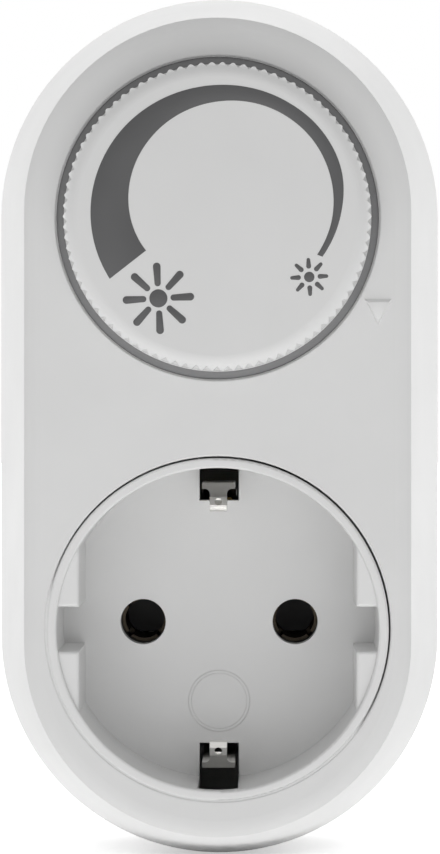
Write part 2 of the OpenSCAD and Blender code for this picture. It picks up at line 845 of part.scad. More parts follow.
// Moulded box with its four upright edges rounded
module case_box(size, r) {
    x = size.x / 2;
    y = size.y / 2;
    linear_extrude(size.z) {
        polygon([
            [r - x, -y], [x - r, -y], [x - r, r - y], [x, r - y], [x, y - r], [x - r, y - r],
            [x - r, y], [r - x, y], [r - x, y - r], [-x, y - r], [-x, r - y], [r - x, r - y]
        ]);
        translate([x - r, y - r]) pie(r, 0, 90);
        translate([r - x, y - r]) pie(r, 90, 180);
        translate([r - x, r - y]) pie(r, 180, 270);
        translate([x - r, r - y]) pie(r, 270, 360);
    }
}

// Interference suppression capacitor below the potentiometer
module suppression_capacitor() {
    color([0.75, 0.66, 0.22]) stand() translate([0, cap_y, z_board]) case_box([cap_w, cap_d, cap_h], 0.8);
}

// Timing capacitor at the board's lower left
module timing_capacitor() {
    color([0.62, 0.16, 0.12]) stand() translate([timing_at.x, timing_at.y, z_board])
        case_box([timing_w, timing_d, timing_h], 0.5);
}

// Ring core of the choke
module choke_core() {
    color([0.20, 0.20, 0.21]) stand() translate([choke_at.x, choke_at.y, 0])
        ring(choke_bore_r, choke_r, z_board + winding_t + fit_gap, z_board + winding_t + fit_gap + choke_h);
}

// Winding that wraps the ring core but for a gap between its ends
module choke_winding() {
    gap_a = 50;
    core_h = choke_h + 2 * fit_gap;
    color([0.66, 0.38, 0.20]) stand() translate([choke_at.x, choke_at.y, z_board])
        rotate([0, 0, gap_a / 2 + 180]) rotate_extrude(angle = 360 - gap_a) difference() {
            translate([choke_bore_r - winding_t, 0])
                square([choke_r - choke_bore_r + 2 * winding_t, core_h + 2 * winding_t]);
            translate([choke_bore_r - fit_gap, winding_t])
                square([choke_r - choke_bore_r + 2 * fit_gap, core_h]);
        }
}

// Triac: moulding, metal tab and three legs
module triac() {
    leg = [0.8, 0.5, triac_lift];
    hole_r = 1.6;
    z_tab = triac_lift + triac_h;
    color(black) stand() translate([sink_at.x, sink_at.y, z_board]) {
        block([-triac_w / 2, -triac_d, triac_lift], [triac_w / 2, 0, z_tab]);
        difference() {
            block([-triac_w / 2, -tab_t, z_tab], [triac_w / 2, 0, z_tab + tab_h]);
            translate([0, 1, z_tab + tab_h / 2]) rotate([90, 0, 0]) cylinder(r = hole_r, h = tab_t + 2);
        }
        for (i = [-1 : 1])
            translate([i * leg_pitch - leg.x / 2, -triac_d / 2 - leg.y / 2, 0]) cube(leg);
    }
}

// Finned plate behind the triac
module heat_sink() {
    sink_w = triac_w + 1;
    fin_t = 1;
    fin_step = (sink_w - fin_t) / (sink_fins - 1);
    color([0.72, 0.73, 0.75]) stand() translate([sink_at.x, sink_at.y, z_board]) {
        block([-sink_w / 2, 0, 0], [sink_w / 2, sink_t, sink_h]);
        for (i = [0 : sink_fins - 1])
            translate([i * fin_step - sink_w / 2, sink_t, 0]) cube([fin_t, sink_t, sink_h]);
    }
}

// Part with a lead at each end, lying along y above the board, its leads bent down to it
module axial_part(body_r, body_len) {
    lead_r = 0.35;
    lead_out = 1.2;
    lift = body_r + 0.3;
    half = body_len / 2 + lead_out;
    translate([0, body_len / 2, lift]) rotate([90, 0, 0]) cylinder(r = body_r, h = body_len);
    translate([0, half, lift]) rotate([90, 0, 0]) cylinder(r = lead_r, h = 2 * half);
    both_ends() {
        translate([0, half, 0]) cylinder(r = lead_r, h = lift);
        translate([0, half, lift]) sphere(lead_r);
    }
}

// Trigger diode
module diac() {
    color([0.20, 0.30, 0.62]) stand() translate([small_at.x - 2 * small_step, small_at.y, z_board])
        axial_part(1, 4);
}

// Two resistors
module resistors() {
    color([0.78, 0.70, 0.55]) stand() for (i = [0, 1])
        translate([small_at.x - i * small_step, small_at.y, z_board]) axial_part(1.2, 5);
}

// Lays a part along y at the fuse's axis
module along_fuse(y) {
    translate(fuse_at + [0, y, 0]) rotate([-90, 0, 0]) children();
}

// Glass tube of the fuse
module fuse_tube() {
    color([0.80, 0.86, 0.88]) stand() along_fuse(cap_end)
        cylinder(r = fuse_r - cap_wall, h = fuse_len - 2 * cap_end);
}

// End caps of the fuse
module fuse_caps() {
    color(nickel) stand() for (end = [0, 1])
        along_fuse(end * fuse_len) mirror([0, 0, end]) difference() {
            cylinder(r = fuse_r, h = fuse_cap_len);
            translate([0, 0, cap_end]) cylinder(r = fuse_r - cap_wall + fit_gap, h = fuse_cap_len);
        }
}

// Spring cradles that hold the fuse's caps on the board
module fuse_clips() {
    cradle_in = fuse_r + fit_gap;
    cradle_r = cradle_in + 0.5;
    inset = 0.5;
    cradle_len = fuse_cap_len - 2 * inset;
    foot_x = 1.5;
    color(brass) stand() for (end = [0, 1])
        along_fuse(inset + end * (fuse_len - 2 * inset - cradle_len)) difference() {
            union() {
                cylinder(r = cradle_r, h = cradle_len);
                block([-foot_x, 0, 0], [foot_x, fuse_at.z - z_board, cradle_len]);
            }
            translate([0, 0, -1]) cylinder(r = cradle_in, h = cradle_len + 2);
            block([-cradle_r, -cradle_r - 1, -1], [cradle_r, -fuse_r * 0.6, cradle_len + 1]);
        }
}

// Insulating block behind the well: two chambers for the sleeves, open towards the pin holes
module contact_carrier() {
    half_w = pocket_r + carrier_wall;
    color(black) stand() difference() {
        union() {
            block([-pin_x, -half_w, z_carrier], [pin_x, half_w, z_back]);
            both_sides() translate([pin_x, 0, z_carrier]) rotate([0, 0, -90])
                rotate_extrude(angle = 180) square([half_w, z_back - z_carrier]);
        }
        both_sides() translate([pin_x, 0, 0]) {
            translate([0, 0, z_sleeve]) cylinder(r = pocket_r, h = z_sleeve_top - z_sleeve + fit_gap);
            translate([0, 0, z_sleeve]) cylinder(r = hole_r, h = z_back - z_sleeve + 1);
            block(
                [-tail_w / 2 - fit_gap, -sleeve_r - fit_gap, z_carrier - 1],
                [tail_w / 2 + fit_gap, fit_gap - tail_in, z_sleeve + sleeve_base]
            );
        }
        block(
            [load_tab_x - load_tab_w / 2 - fit_gap, 0, z_sleeve],
            [load_tab_x + load_tab_w / 2 + fit_gap, half_w + 1, z_sleeve + sleeve_base + fit_gap]
        );
    }
}

// Split sleeve, whole at its foot and slit into four fingers above
module sleeve() {
    slit = 0.7;
    difference() {
        ring(sleeve_in, sleeve_r, z_sleeve, z_sleeve_top);
        for (turn = [0, 90])
            rotate([0, 0, turn + 45]) block(
                [-sleeve_r - 1, -slit / 2, z_sleeve + 3 * sleeve_base],
                [sleeve_r + 1, slit / 2, z_sleeve_top + 1]
            );
    }
}

// Switched contact, with the tab for the load wire
module line_contact() {
    color(brass) stand() {
        translate([-pin_x, 0, 0]) sleeve();
        difference() {
            block(
                [load_tab_x - load_tab_w / 2, 0, z_sleeve],
                [load_tab_x + load_tab_w / 2, load_tab_y, z_sleeve + sleeve_base]
            );
            translate([-pin_x, 0, z_sleeve - 1]) cylinder(r = sleeve_in, h = sleeve_base + 2);
        }
    }
}

// Neutral contact, with the tail for the neutral link
module neutral_contact() {
    color(brass) stand() translate([pin_x, 0, 0]) {
        sleeve();
        intersection() {
            ring(sleeve_in, sleeve_r, z_link - 0.4, z_sleeve + sleeve_base);
            block([-tail_w / 2, -sleeve_r, z_link - 1], [tail_w / 2, 0, z_sleeve + sleeve_base]);
        }
    }
}

// Strip from the neutral pin's tail up to the neutral sleeve's tail, with a tab for the wire
module neutral_link() {
    half_w = link_w / 2;
    foot_z = z_tail - 1 - link_t;
    color(brass) stand() difference() {
        union() {
            block([link_x - link_t / 2, -half_w, foot_z], [pin_x + half_w, half_w, foot_z + link_t]);
            block([link_x - link_t / 2, -half_w, foot_z], [link_x + link_t / 2, half_w, z_link + link_t]);
            block([link_x - link_t / 2, -tail_y, z_link], [pin_x + half_w, half_w, z_link + link_t]);
            block(
                [pin_x - link_tab_w / 2, 0, z_link],
                [pin_x + link_tab_w / 2, half_w + link_tab, z_link + link_t]
            );
        }
        translate([pin_x, 0, foot_z - 1]) cylinder(r = pin_tail_r + fit_gap, h = link_t + 2);
        block(
            [pin_x - tail_w / 2 - fit_gap, -sleeve_r - fit_gap, z_link - 1],
            [pin_x + tail_w / 2 + fit_gap, fit_gap - tail_in, z_link + 2]
        );
    }
}

// Plug pin: round-nosed shank, root in the boss's face, collar behind it, and tail
module plug_pin() {
    nose = pin_r - 0.6;
    rotate_extrude() {
        polygon([
            [0, -pin_len], [pin_r - nose, -pin_len], [pin_r - nose, nose - pin_len], [pin_r, nose - pin_len],
            [pin_r, 0], [pin_root_r, 0], [pin_root_r, face_t], [pin_collar_r, face_t],
            [pin_collar_r, face_t + pin_collar_t], [pin_tail_r, face_t + pin_collar_t],
            [pin_tail_r, z_tail], [0, z_tail]
        ]);
        translate([pin_r - nose, nose - pin_len]) pie(nose, 270, 360);
    }
}

// Line pin of the plug
module line_pin() {
    color(nickel) stand() translate([-pin_x, 0, 0]) plug_pin();
}

// Neutral pin of the plug
module neutral_pin() {
    color(nickel) stand() translate([pin_x, 0, 0]) plug_pin();
}

// Direction of a path from point i to the next one
function run_dir(points, i) = (points[i + 1] - points[i]) / norm(points[i + 1] - points[i]);

// Edge of a sheet that follows a path at distance d to its left, mitred at the bends
function sheet_edge(points, d) = let (last = len(points) - 1) [
    for (i = [0 : last]) let (a = run_dir(points, max(i - 1, 0)), b = run_dir(points, min(i, last - 1)))
        points[i] + d * [-a.y - b.y, a.x + b.x] / (1 + a * b)
];

// Bent sheet: a strip of even thickness along a path in y and z
module bent_sheet(points, t, w) {
    left = sheet_edge(points, t / 2);
    right = sheet_edge(points, -t / 2);
    translate([-w / 2, 0, 0]) rotate([90, 0, 90]) linear_extrude(w)
        polygon(concat(left, [for (i = [len(points) - 1 : -1 : 0]) right[i]]));
}

// Earth strip: from the groove in the boss, through the housing and the well's floor, up to the clip.
// The clip leans in from its shoulders, waisted to a spring tongue that rolls over into the well.
module earth_strip() {
    z_jog = z_back - 9;
    foot = [clip_y, z_shoulder];
    knee = foot + [-0.57 * tongue_reach, 0.88 * tongue_rise];
    crest = foot + [-0.82 * tongue_reach, tongue_rise];
    nose = foot + [-0.96 * tongue_reach, 0.88 * tongue_rise];
    tip = foot + [-tongue_reach, 0.68 * tongue_rise];
    tail = foot + [-0.82 * tongue_reach, -0.7 * tongue_rise];
    waist_y = clip_y - strip_t / 2 - 0.05;
    waist_r = 0.6;
    hole_r = 0.45;
    difference() {
        bent_sheet(
            [[earth_y, 1.2], [earth_y, z_jog], [clip_y, z_jog + 6], foot, knee, crest, nose, tip, tail],
            strip_t, strip_w
        );
        both_sides() translate([tongue_w / 2, slot_in - 3, z_floor + 1]) linear_extrude(z_front - z_floor)
            rounded_step([strip_w, waist_y - slot_in + 3], waist_r);
        translate([0, (knee.x + crest.x) / 2, crest.y - strip_t]) cylinder(r = hole_r, h = 2 * strip_t);
        translate([0, earth_y + 2, z_rivet]) rotate([90, 0, 0]) cylinder(r = rivet_r + fit_gap, h = 4);
    }
}

// Earth strip above the socket's axis
module upper_earth_strip() {
    color(nickel) stand() earth_strip();
}

// Earth strip below the socket's axis
module lower_earth_strip() {
    color(nickel) stand() mirror([0, 1, 0]) earth_strip();
}

// Bridge between the earth strips, with a tab turned up at each end
module earth_link() {
    half_w = earth_link_w / 2;
    color(brass) stand() difference() {
        union() {
            block([-half_w, -groove_y, z_link], [half_w, groove_y, z_link + link_t]);
            both_ends() block(
                [-half_w, groove_y - link_t, z_link],
                [half_w, groove_y, z_link + link_t + earth_tab_h]
            );
        }
        both_ends() translate([0, earth_y + 2, z_rivet]) rotate([90, 0, 0])
            cylinder(r = rivet_r + fit_gap, h = 6);
    }
}

// Rivets through the link's tabs and the strips, with a head on each side
module earth_rivets() {
    head_h = 0.5;
    y_in = groove_y - link_t;
    y_out = groove_y + strip_t;
    color(nickel) stand() both_ends() translate([0, 0, z_rivet]) rotate([-90, 0, 0]) {
        translate([0, 0, y_in - head_h]) cylinder(r = rivet_r, h = y_out - y_in + 2 * head_h);
        translate([0, 0, y_in - head_h]) cylinder(r = rivet_r + 0.4, h = head_h);
        translate([0, 0, y_out]) cylinder(r = rivet_r + 0.4, h = head_h);
    }
}

// Matrix that turns z to direction d and moves to p, for a direction along one axis
function towards(d, p) = let (side = [d.y, d.z, d.x], third = cross(d, side)) [
    [side.x, third.x, d.x, p.x],
    [side.y, third.y, d.y, p.y],
    [side.z, third.z, d.z, p.z],
    [0, 0, 0, 1]
];

// Matrix for a quarter bend at corner p, from direction a to direction b
function bend_at(a, b, p) = let (c = p + wire_bend * (b - a), n = cross(-b, a)) [
    [-b.x, a.x, n.x, c.x],
    [-b.y, a.y, n.y, c.y],
    [-b.z, a.z, n.z, c.z],
    [0, 0, 0, 1]
];

// Round wire along a route of straight runs with quarter bends between them
module wire(route) {
    last = len(route) - 2;
    runs = [for (i = [0 : last]) (route[i + 1] - route[i]) / norm(route[i + 1] - route[i])];
    for (i = [0 : last]) {
        from = i == 0 ? 0 : wire_bend;
        till = norm(route[i + 1] - route[i]) - (i == last ? 0 : wire_bend);
        multmatrix(towards(runs[i], route[i])) translate([0, 0, from]) cylinder(r = wire_r, h = till - from);
        if (i < last)
            multmatrix(bend_at(runs[i], runs[i + 1], route[i + 1]))
                rotate_extrude(angle = 90) translate([wire_bend, 0]) circle(wire_r);
    }
}

// Wire from the line pin to the board
module line_wire() {
    z_low = z_tail + wire_bend + 0.5;
    rise_y = 2 * wire_bend + 4;
    color([0.45, 0.26, 0.14]) stand() wire([
        [-pin_x, 0, z_tail], [-pin_x, 0, z_low], [-pin_x, rise_y, z_low], [-pin_x, rise_y, z_run],
        [-pin_x, wire_y, z_run], [-pin_x, wire_y, z_board_low]
    ]);
}

// Wire from the board to the switched contact
module load_wire() {
    color([0.10, 0.10, 0.10]) stand() wire([
        [load_tab_x, load_tab_y, z_run], [load_tab_x, wire_y, z_run], [load_tab_x, wire_y, z_board_low]
    ]);
}

// Wire from the neutral link to the board
module neutral_wire() {
    z_low = z_link + link_t / 2;
    color([0.20, 0.36, 0.66]) stand() wire([
        [pin_x, link_w / 2 + link_tab, z_low], [pin_x, wire_y, z_low], [pin_x, wire_y, z_board_low]
    ]);
}

// Four screws from the rear, each with a crossed recess in its head
module housing_screws() {
    slot_w = 0.7;
    slot_l = 1.5 * screw_head_r;
    color(nickel) stand() at_posts() difference() {
        union() {
            translate([0, 0, z_seat - screw_head_h]) cylinder(r = screw_head_r, h = screw_head_h);
            translate([0, 0, z_seat - 0.5]) cylinder(r = screw_r, h = screw_len + 0.5);
        }
        for (turn = [0, 90]) rotate([0, 0, turn]) block(
            [-slot_l / 2, -slot_w / 2, z_seat - screw_head_h - 1],
            [slot_l / 2, slot_w / 2, z_seat - screw_head_h / 2]
        );
    }
}

front_cover();
rear_housing();
socket_insert();
dial_knob();
dial_carrier();
dial_clip();
potentiometer_case();
potentiometer_bushing();
potentiometer_shaft();
circuit_board();
suppression_capacitor();
timing_capacitor();
choke_core();
choke_winding();
triac();
heat_sink();
diac();
resistors();
fuse_tube();
fuse_caps();
fuse_clips();
contact_carrier();
line_contact();
neutral_contact();
neutral_link();
line_pin();
neutral_pin();
upper_earth_strip();
lower_earth_strip();
earth_link();
earth_rivets();
line_wire();
load_wire();
neutral_wire();
housing_screws();
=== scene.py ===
"""Finishes, dial print and studio for a plug-in dimmer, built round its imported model.

Everything is in metres in the model's own frame: +X to the right of someone who faces the front,
+Y into the wall and +Z up. The origin is the middle of the plug's pin face.
"""

import math

import bmesh
import bpy
import numpy as np
from bpy.props import FloatProperty, FloatVectorProperty, IntProperty, PointerProperty
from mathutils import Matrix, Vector


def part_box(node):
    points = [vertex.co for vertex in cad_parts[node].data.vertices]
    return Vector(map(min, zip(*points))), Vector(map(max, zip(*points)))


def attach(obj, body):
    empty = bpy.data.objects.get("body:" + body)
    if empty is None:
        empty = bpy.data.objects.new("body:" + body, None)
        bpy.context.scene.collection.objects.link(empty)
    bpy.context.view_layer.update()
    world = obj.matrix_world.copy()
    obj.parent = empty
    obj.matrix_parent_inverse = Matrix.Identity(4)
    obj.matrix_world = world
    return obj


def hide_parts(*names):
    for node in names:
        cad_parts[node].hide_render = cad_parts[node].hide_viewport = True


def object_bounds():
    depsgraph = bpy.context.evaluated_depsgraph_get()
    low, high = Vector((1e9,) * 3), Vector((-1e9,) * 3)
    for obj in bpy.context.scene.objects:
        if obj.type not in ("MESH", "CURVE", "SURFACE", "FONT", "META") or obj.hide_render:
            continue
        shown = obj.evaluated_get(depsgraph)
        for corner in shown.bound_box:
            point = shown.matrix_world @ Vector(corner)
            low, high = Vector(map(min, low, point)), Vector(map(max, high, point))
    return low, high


bl_info = {
    "name": "Plug-in dimmer",
    "version": (1, 0, 0),
    "blender": (4, 5, 0),
    "location": "3D View > Sidebar > Dimmer",
    "description": "Finishes, dial print and studio of a plug-in dimmer",
    "category": "Object",
}

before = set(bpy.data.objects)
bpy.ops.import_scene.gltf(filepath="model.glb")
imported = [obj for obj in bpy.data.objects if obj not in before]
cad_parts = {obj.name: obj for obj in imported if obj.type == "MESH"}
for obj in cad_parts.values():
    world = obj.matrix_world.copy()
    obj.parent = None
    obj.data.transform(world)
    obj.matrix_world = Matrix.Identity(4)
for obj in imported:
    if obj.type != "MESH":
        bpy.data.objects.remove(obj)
CAD_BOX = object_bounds()
MM = 0.001

# Places taken from the frame. A level is a distance in front of y = 0.
KNOB_LOW, KNOB_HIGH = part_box("dial_knob")
DIAL_X = (KNOB_LOW.x + KNOB_HIGH.x) / 2
DIAL_Z = (KNOB_LOW.z + KNOB_HIGH.z) / 2
DIAL_FACE = KNOB_LOW.y
RING_LEVEL = -KNOB_HIGH.y
PANEL_LEVEL = -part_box("socket_insert")[0].y
FOOT_Z = CAD_BOX[0][2]

# Steps of the surfaces' grids, and the angle from which an edge is shaded as sharp.
DIAL_STEPS = 240
SEAM_STEPS = 200
DISC_STEPS = 40
RAY_END_STEPS = 12
RING_STEPS = 12
FOOT_STEPS = 9
LIP_STEPS = 6
WIRE_STEPS = 40
WIRE_SIDES = 10
SHARP_ANGLE = math.radians(38)

# Run of noise values that the finishes use, depths of their relief, and the glass's index.
NOISE_RUN = (0.3, 0.7)
GRAIN_DEPTH = 0.02 * MM
STREAK_DEPTH = 0.01 * MM
GLASS_INDEX = 1.47

# Colour sockets of the Mix node, which has sockets of the same names for other kinds of value.
MIX_FIRST, MIX_SECOND, MIX_RESULT = 6, 7, 2

# Soft edge of the floor's pad in shares of its size, the camera's sensor in millimetres, the
# point that the lamps face, and each lamp's place and size.
PAD_EDGE = (0.94, 1.04)
SENSOR = 36.0
LAMP_AIM = (0.0, -0.04, 0.025)
LAMPS = {
    "left": ((-0.6, 0.35, 0.15), (0.6, 0.6)),
    "right": ((0.6, 0.35, 0.15), (0.6, 0.6)),
    "top": ((0.0, 0.45, 0.6), (1.0, 0.6)),
    "front": ((0.0, -0.8, -0.2), (0.8, 0.3)),
    "low": ((0.0, -0.5, -0.5), (0.8, 0.4)),
    "under": ((0.0, -0.06, -0.7), (0.8, 0.6)),
}


def length(name, description, millimetres):
    """Length property, given in millimetres and held in metres."""
    return FloatProperty(
        name=name,
        description=description,
        default=millimetres * MM,
        min=0.0,
        unit="LENGTH",
        precision=5,
    )


def place(name, description, *millimetres):
    """Place property, given in millimetres and held in metres."""
    return FloatVectorProperty(
        name=name,
        description=description,
        size=len(millimetres),
        default=[value * MM for value in millimetres],
        unit="LENGTH",
        precision=5,
    )


def angle(name, description, degrees, low=0.0):
    """Angle property, given in degrees and held in radians."""
    return FloatProperty(
        name=name,
        description=description,
        default=math.radians(degrees),
        min=math.radians(low),
        subtype="ANGLE",
    )


def colour(name, description, *rgb):
    """Opaque colour property in linear values."""
    return FloatVectorProperty(
        name=name,
        description=description,
        size=4,
        default=(*rgb, 1.0),
        min=0.0,
        max=1.0,
        subtype="COLOR",
    )


def number(name, description, value, low=0.0, unit="NONE"):
    """Number property, plain or in a unit."""
    return FloatProperty(
        name=name, description=description, default=value, min=low, unit=unit, precision=4
    )


def whole(name, description, value, low):
    """Whole number property."""
    return IntProperty(name=name, description=description, default=value, min=low)


class PrintSettings(bpy.types.PropertyGroup):
    """Sizes of the brightness scale printed on the dial, measured from the dial's axis."""

    ink_thickness: length("Ink thickness", "Height of the ink on the dial's face", 0.04)
    ink_edge: length("Ink edge", "Width of the ink's rounded edge", 0.03)
    arc_steps: whole("Arc steps", "Steps along the printed arc", 180, 24)
    arc_thick_end: angle("Thick end", "Where the arc's inner edge ends at its thick end", 206.0)
    arc_cut: angle("Thick end's cut", "How much further the outer edge runs there", 4.4)
    arc_thin_end: angle("Thin end", "Where both edges end at the arc's thin end", -21.2, -90.0)
    bright_place: place("Large sun", "Middle of the large sun", -7.0, -9.85)
    bright_disc: length("Large sun's disc", "Radius of the large sun's disc", 1.08)
    bright_ray_root: length("Large sun's ray root", "Distance where its rays begin", 1.44)
    bright_ray_tip: length("Large sun's ray tip", "Distance where its rays end", 4.27)
    bright_root_width: length("Large sun's root width", "Width of its rays at the root", 0.73)
    bright_tip_width: length("Large sun's tip width", "Width of its rays at the tip", 0.91)
    bright_turn: angle("Large sun's turn", "Turn of its rays", 3.0, -45.0)
    dim_place: place("Small sun", "Middle of the small sun", 11.0, -7.3)
    dim_disc: length("Small sun's disc", "Radius of the small sun's disc", 0.62)
    dim_ray_root: length("Small sun's ray root", "Distance where its rays begin", 1.0)
    dim_ray_tip: length("Small sun's ray tip", "Distance where its rays end", 2.27)
    dim_root_width: length("Small sun's root width", "Width of its rays at the root", 0.58)
    dim_tip_width: length("Small sun's tip width", "Width of its rays at the tip", 0.42)
    dim_turn: angle("Small sun's turn", "Turn of its rays", 3.0, -45.0)
    rays: whole("Rays", "Rays round each sun", 8, 3)


class TrimSettings(bpy.types.PropertyGroup):
    """Sizes of the thin trim at the dial and the socket, the index mark and the choke's wire."""

    ring_inner: length("Ring's inner radius", "Inner radius of the ring round the knob", 18.57)
    ring_outer: length("Ring's outer radius", "Outer radius of the ring round the knob", 19.44)
    ring_edge: length("Ring's edge", "Height of the ring's outer edge over the carrier", 0.22)
    ring_rise: length("Ring's rise", "Height of the ring's inner edge over its outer edge", 0.75)
    ring_power: number("Ring's fall", "Power by which the ring falls away outwards", 1.6, 1.0)
    foot_inner: length("Foot's inner radius", "Inner radius of the knob's white foot", 18.41)
    foot_outer: length("Foot's outer radius", "Outer radius of the knob's white foot", 18.56)
    foot_rise: length("Foot's rise", "Height of the knob's foot over the carrier", 1.02)
    band_root: length("Bands' root", "How deep ring and foot are sunk in the carrier", 0.05)
    lip_inner: length("Lip's inner radius", "Inner radius of the pocket's lip", 19.47)
    lip_outer: length("Lip's outer radius", "Outer radius of the lip, inside the cover", 19.62)
    lip_depth: length("Lip's depth", "Depth of the pocket's lip under the panel", 0.28)
    lip_thickness: length("Lip's thickness", "Thickness of the pocket's lip", 0.35)
    lip_corner: length("Lip's corner", "Radius of the lip's inner corner", 0.08)
    seam_inner: length("Seam's inner radius", "Inner radius of the web in the seam", 20.6)
    seam_outer: length("Seam's outer radius", "Outer radius of the web in the seam", 21.02)
    seam_depth: length("Seam's depth", "Depth of the web under the panel, at its least", 0.13)
    seam_fall: length("Seam's fall", "How much deeper the web goes at its ends", 2.5)
    seam_thickness: length("Seam's thickness", "Thickness of the web", 0.4)
    seam_from: angle("Seam's start", "Where the web begins", 148.0)
    seam_to: angle("Seam's end", "Where the web ends", 342.0)
    seam_ease: angle("Seam's ease", "Stretch in which the web goes deeper at each end", 24.0)
    mark_place: place("Index mark", "Middle of the mark from the dial's axis", 19.38, -11.37)
    mark_side: length("Index mark's width", "Width of the index mark's foot", 3.4)
    mark_drop: length("Index mark's height", "Height of the index mark's foot", 3.3)
    mark_rise: length("Index mark's rise", "How far the index mark stands out", 0.42)
    mark_root: length("Index mark's root", "How deep its foot is sunk in the panel", 0.06)
    mark_shoulder: number("Shoulder", "Size of the mark's shoulder against its foot", 0.765)
    mark_shoulder_rise: number("Shoulder's rise", "Height of the shoulder against the top", 0.93)
    mark_top: number("Index mark's top", "Size of the mark's top against its foot", 0.715)
    core_bore: length("Choke's bore", "Inner radius of the choke's core", 3.2)
    wire_radius: length("Choke's wire", "Radius of the choke's wire", 0.37)
    wire_clear: length("Wire's clearance", "Space between the choke's wire and its core", 0.05)
    wire_turns: whole("Turns", "Turns of wire round the choke", 19, 1)
    wire_gap: angle("Winding's gap", "Angle between the winding's ends", 56.0)


class FinishSettings(bpy.types.PropertyGroup):
    """Colours of the plastics, metals and components, and the radii of moulded edges."""

    shell: colour("Housing", "White moulding of both halves", 0.77, 0.77, 0.767)
    socket: colour("Socket", "White moulding of the socket's cup", 0.79, 0.79, 0.787)
    dial: colour("Dial", "White moulding of the knob", 0.76, 0.76, 0.757)
    ring: colour("Ring", "Grey moulding round the knob", 0.225, 0.225, 0.228)
    ink: colour("Ink", "Grey print on the dial", 0.09, 0.09, 0.092)
    case_edge: length("Case's edges", "Radius of the housing's and the socket's edges", 0.15)
    dial_edge: length("Dial's edges", "Radius of the knob's edges", 0.08)
    clip: colour("Clip nickel", "Bright plating of the earth clips", 0.78, 0.77, 0.74)
    nickel: colour("Nickel", "Plating of pins, rivets and fuse caps", 0.5, 0.49, 0.465)
    steel: colour("Steel", "Bright zinc of screws and shaft", 0.58, 0.585, 0.59)
    brass: colour("Brass", "Rolled brass of links and clips", 0.72, 0.52, 0.22)
    # Darker than the sleeves' own bronze: painted shade that stands in for the shade deep in the
    # pin holes.
    bronze: colour("Bronze", "Dark spring bronze of the contact sleeves", 0.1, 0.083, 0.062)
    black: colour("Black", "Black moulding of the contact carrier", 0.04, 0.04, 0.041)
    lacquer: colour("Lacquer", "Green lacquer over the board's copper", 0.04, 0.17, 0.08)
    bare_board: colour("Bare board", "Lines between islands of copper", 0.012, 0.07, 0.035)
    yellow: colour("Yellow", "Case of the suppression capacitor", 0.6, 0.44, 0.06)
    red: colour("Red", "Case of the timing capacitor", 0.36, 0.045, 0.03)
    ferrite: colour("Ferrite", "Core of the choke", 0.045, 0.045, 0.05)
    copper: colour("Copper", "Wire of the choke", 0.62, 0.26, 0.12)
    aluminium: colour("Aluminium", "Heat sink", 0.72, 0.73, 0.75)
    resistor: colour("Resistor", "Beige bodies of the resistors", 0.5, 0.38, 0.22)
    lead: colour("Leads", "Tinned leads of the resistors", 0.5, 0.5, 0.49)
    diac: colour("Diac", "Blue body of the diac", 0.04, 0.09, 0.34)
    glass: colour("Glass", "Tube of the fuse", 0.86, 0.92, 0.92)
    wire_brown: colour("Brown wire", "Sleeve of the line wire", 0.12, 0.05, 0.02)
    wire_black: colour("Black wire", "Sleeve of the load wire", 0.015, 0.015, 0.015)
    wire_blue: colour("Blue wire", "Sleeve of the neutral wire", 0.03, 0.09, 0.3)


class StageSettings(bpy.types.PropertyGroup):
    """Camera, floor and lights."""

    camera_place: place("Camera", "Place of the camera", 5.6, -560.0, 28.2)
    lens: number("Lens", "Focal length on a 36 mm sensor", 174.5, 1.0, "CAMERA")
    shift_x: number("Shift across", "Camera's shift to the right", -0.0515, -1.0)
    shift_y: number("Shift up", "Camera's upward shift", -0.0363, -1.0)
    floor_side: length("Floor's sides", "Reach of the floor to each side", 2000.0)
    floor_front: length("Floor's front", "Reach of the floor to the front", 1200.0)
    floor_back: length("Floor's back", "Reach of the floor to the back", 3000.0)
    floor_colour: colour("Floor", "Pale floor", 0.86, 0.86, 0.86)
    floor_lift: number("Floor lift", "Light that whitens the floor near the object", 0.45)
    lift_near: length("Lift's start", "Distance from which the floor gets whiter", 250.0)
    lift_far: length("Lift's end", "Distance from which the floor is all white", 700.0)
    pad_size: place("Pad", "Half sizes of the shut pad under the object", 17.0, 26.2, 1000.0)
    world_light: number("Surround", "Strength of the white surround", 0.49)
    left_power: number("Left lamp", "Lamp behind on the left", 1.63, unit="POWER")
    right_power: number("Right lamp", "Lamp behind on the right", 1.47, unit="POWER")
    top_power: number("Top lamp", "Lamp above and behind", 2.55, unit="POWER")
    front_power: number("Front lamp", "Lamp in front and below", 0.88, unit="POWER")
    low_power: number("Low lamp", "Lamp further below", 0.97, unit="POWER")
    under_power: number("Under lamp", "Lamp under the floor", 1.45, unit="POWER")


def smooth_curve(stations, values, at):
    """Cubic between neighbouring stations, whose slopes are the values' central differences."""
    slopes = np.gradient(values, stations)
    i = np.clip(np.searchsorted(stations, at) - 1, 0, len(stations) - 2)
    step = stations[i + 1] - stations[i]
    t = (at - stations[i]) / step
    rise = t * t * (3 - 2 * t)
    ease_in = t * (1 - t) ** 2 * step * slopes[i]
    ease_out = t * t * (t - 1) * step * slopes[i + 1]
    return values[i] + rise * (values[i + 1] - values[i]) + ease_in + ease_out


def on_dial(across, up, height):
    """Points over the dial's face: right of its axis, above its axis, and in front of the face."""
    level = np.broadcast_to(DIAL_FACE - height, across.shape)
    return np.stack([DIAL_X + across, level, DIAL_Z + up], axis=-1)


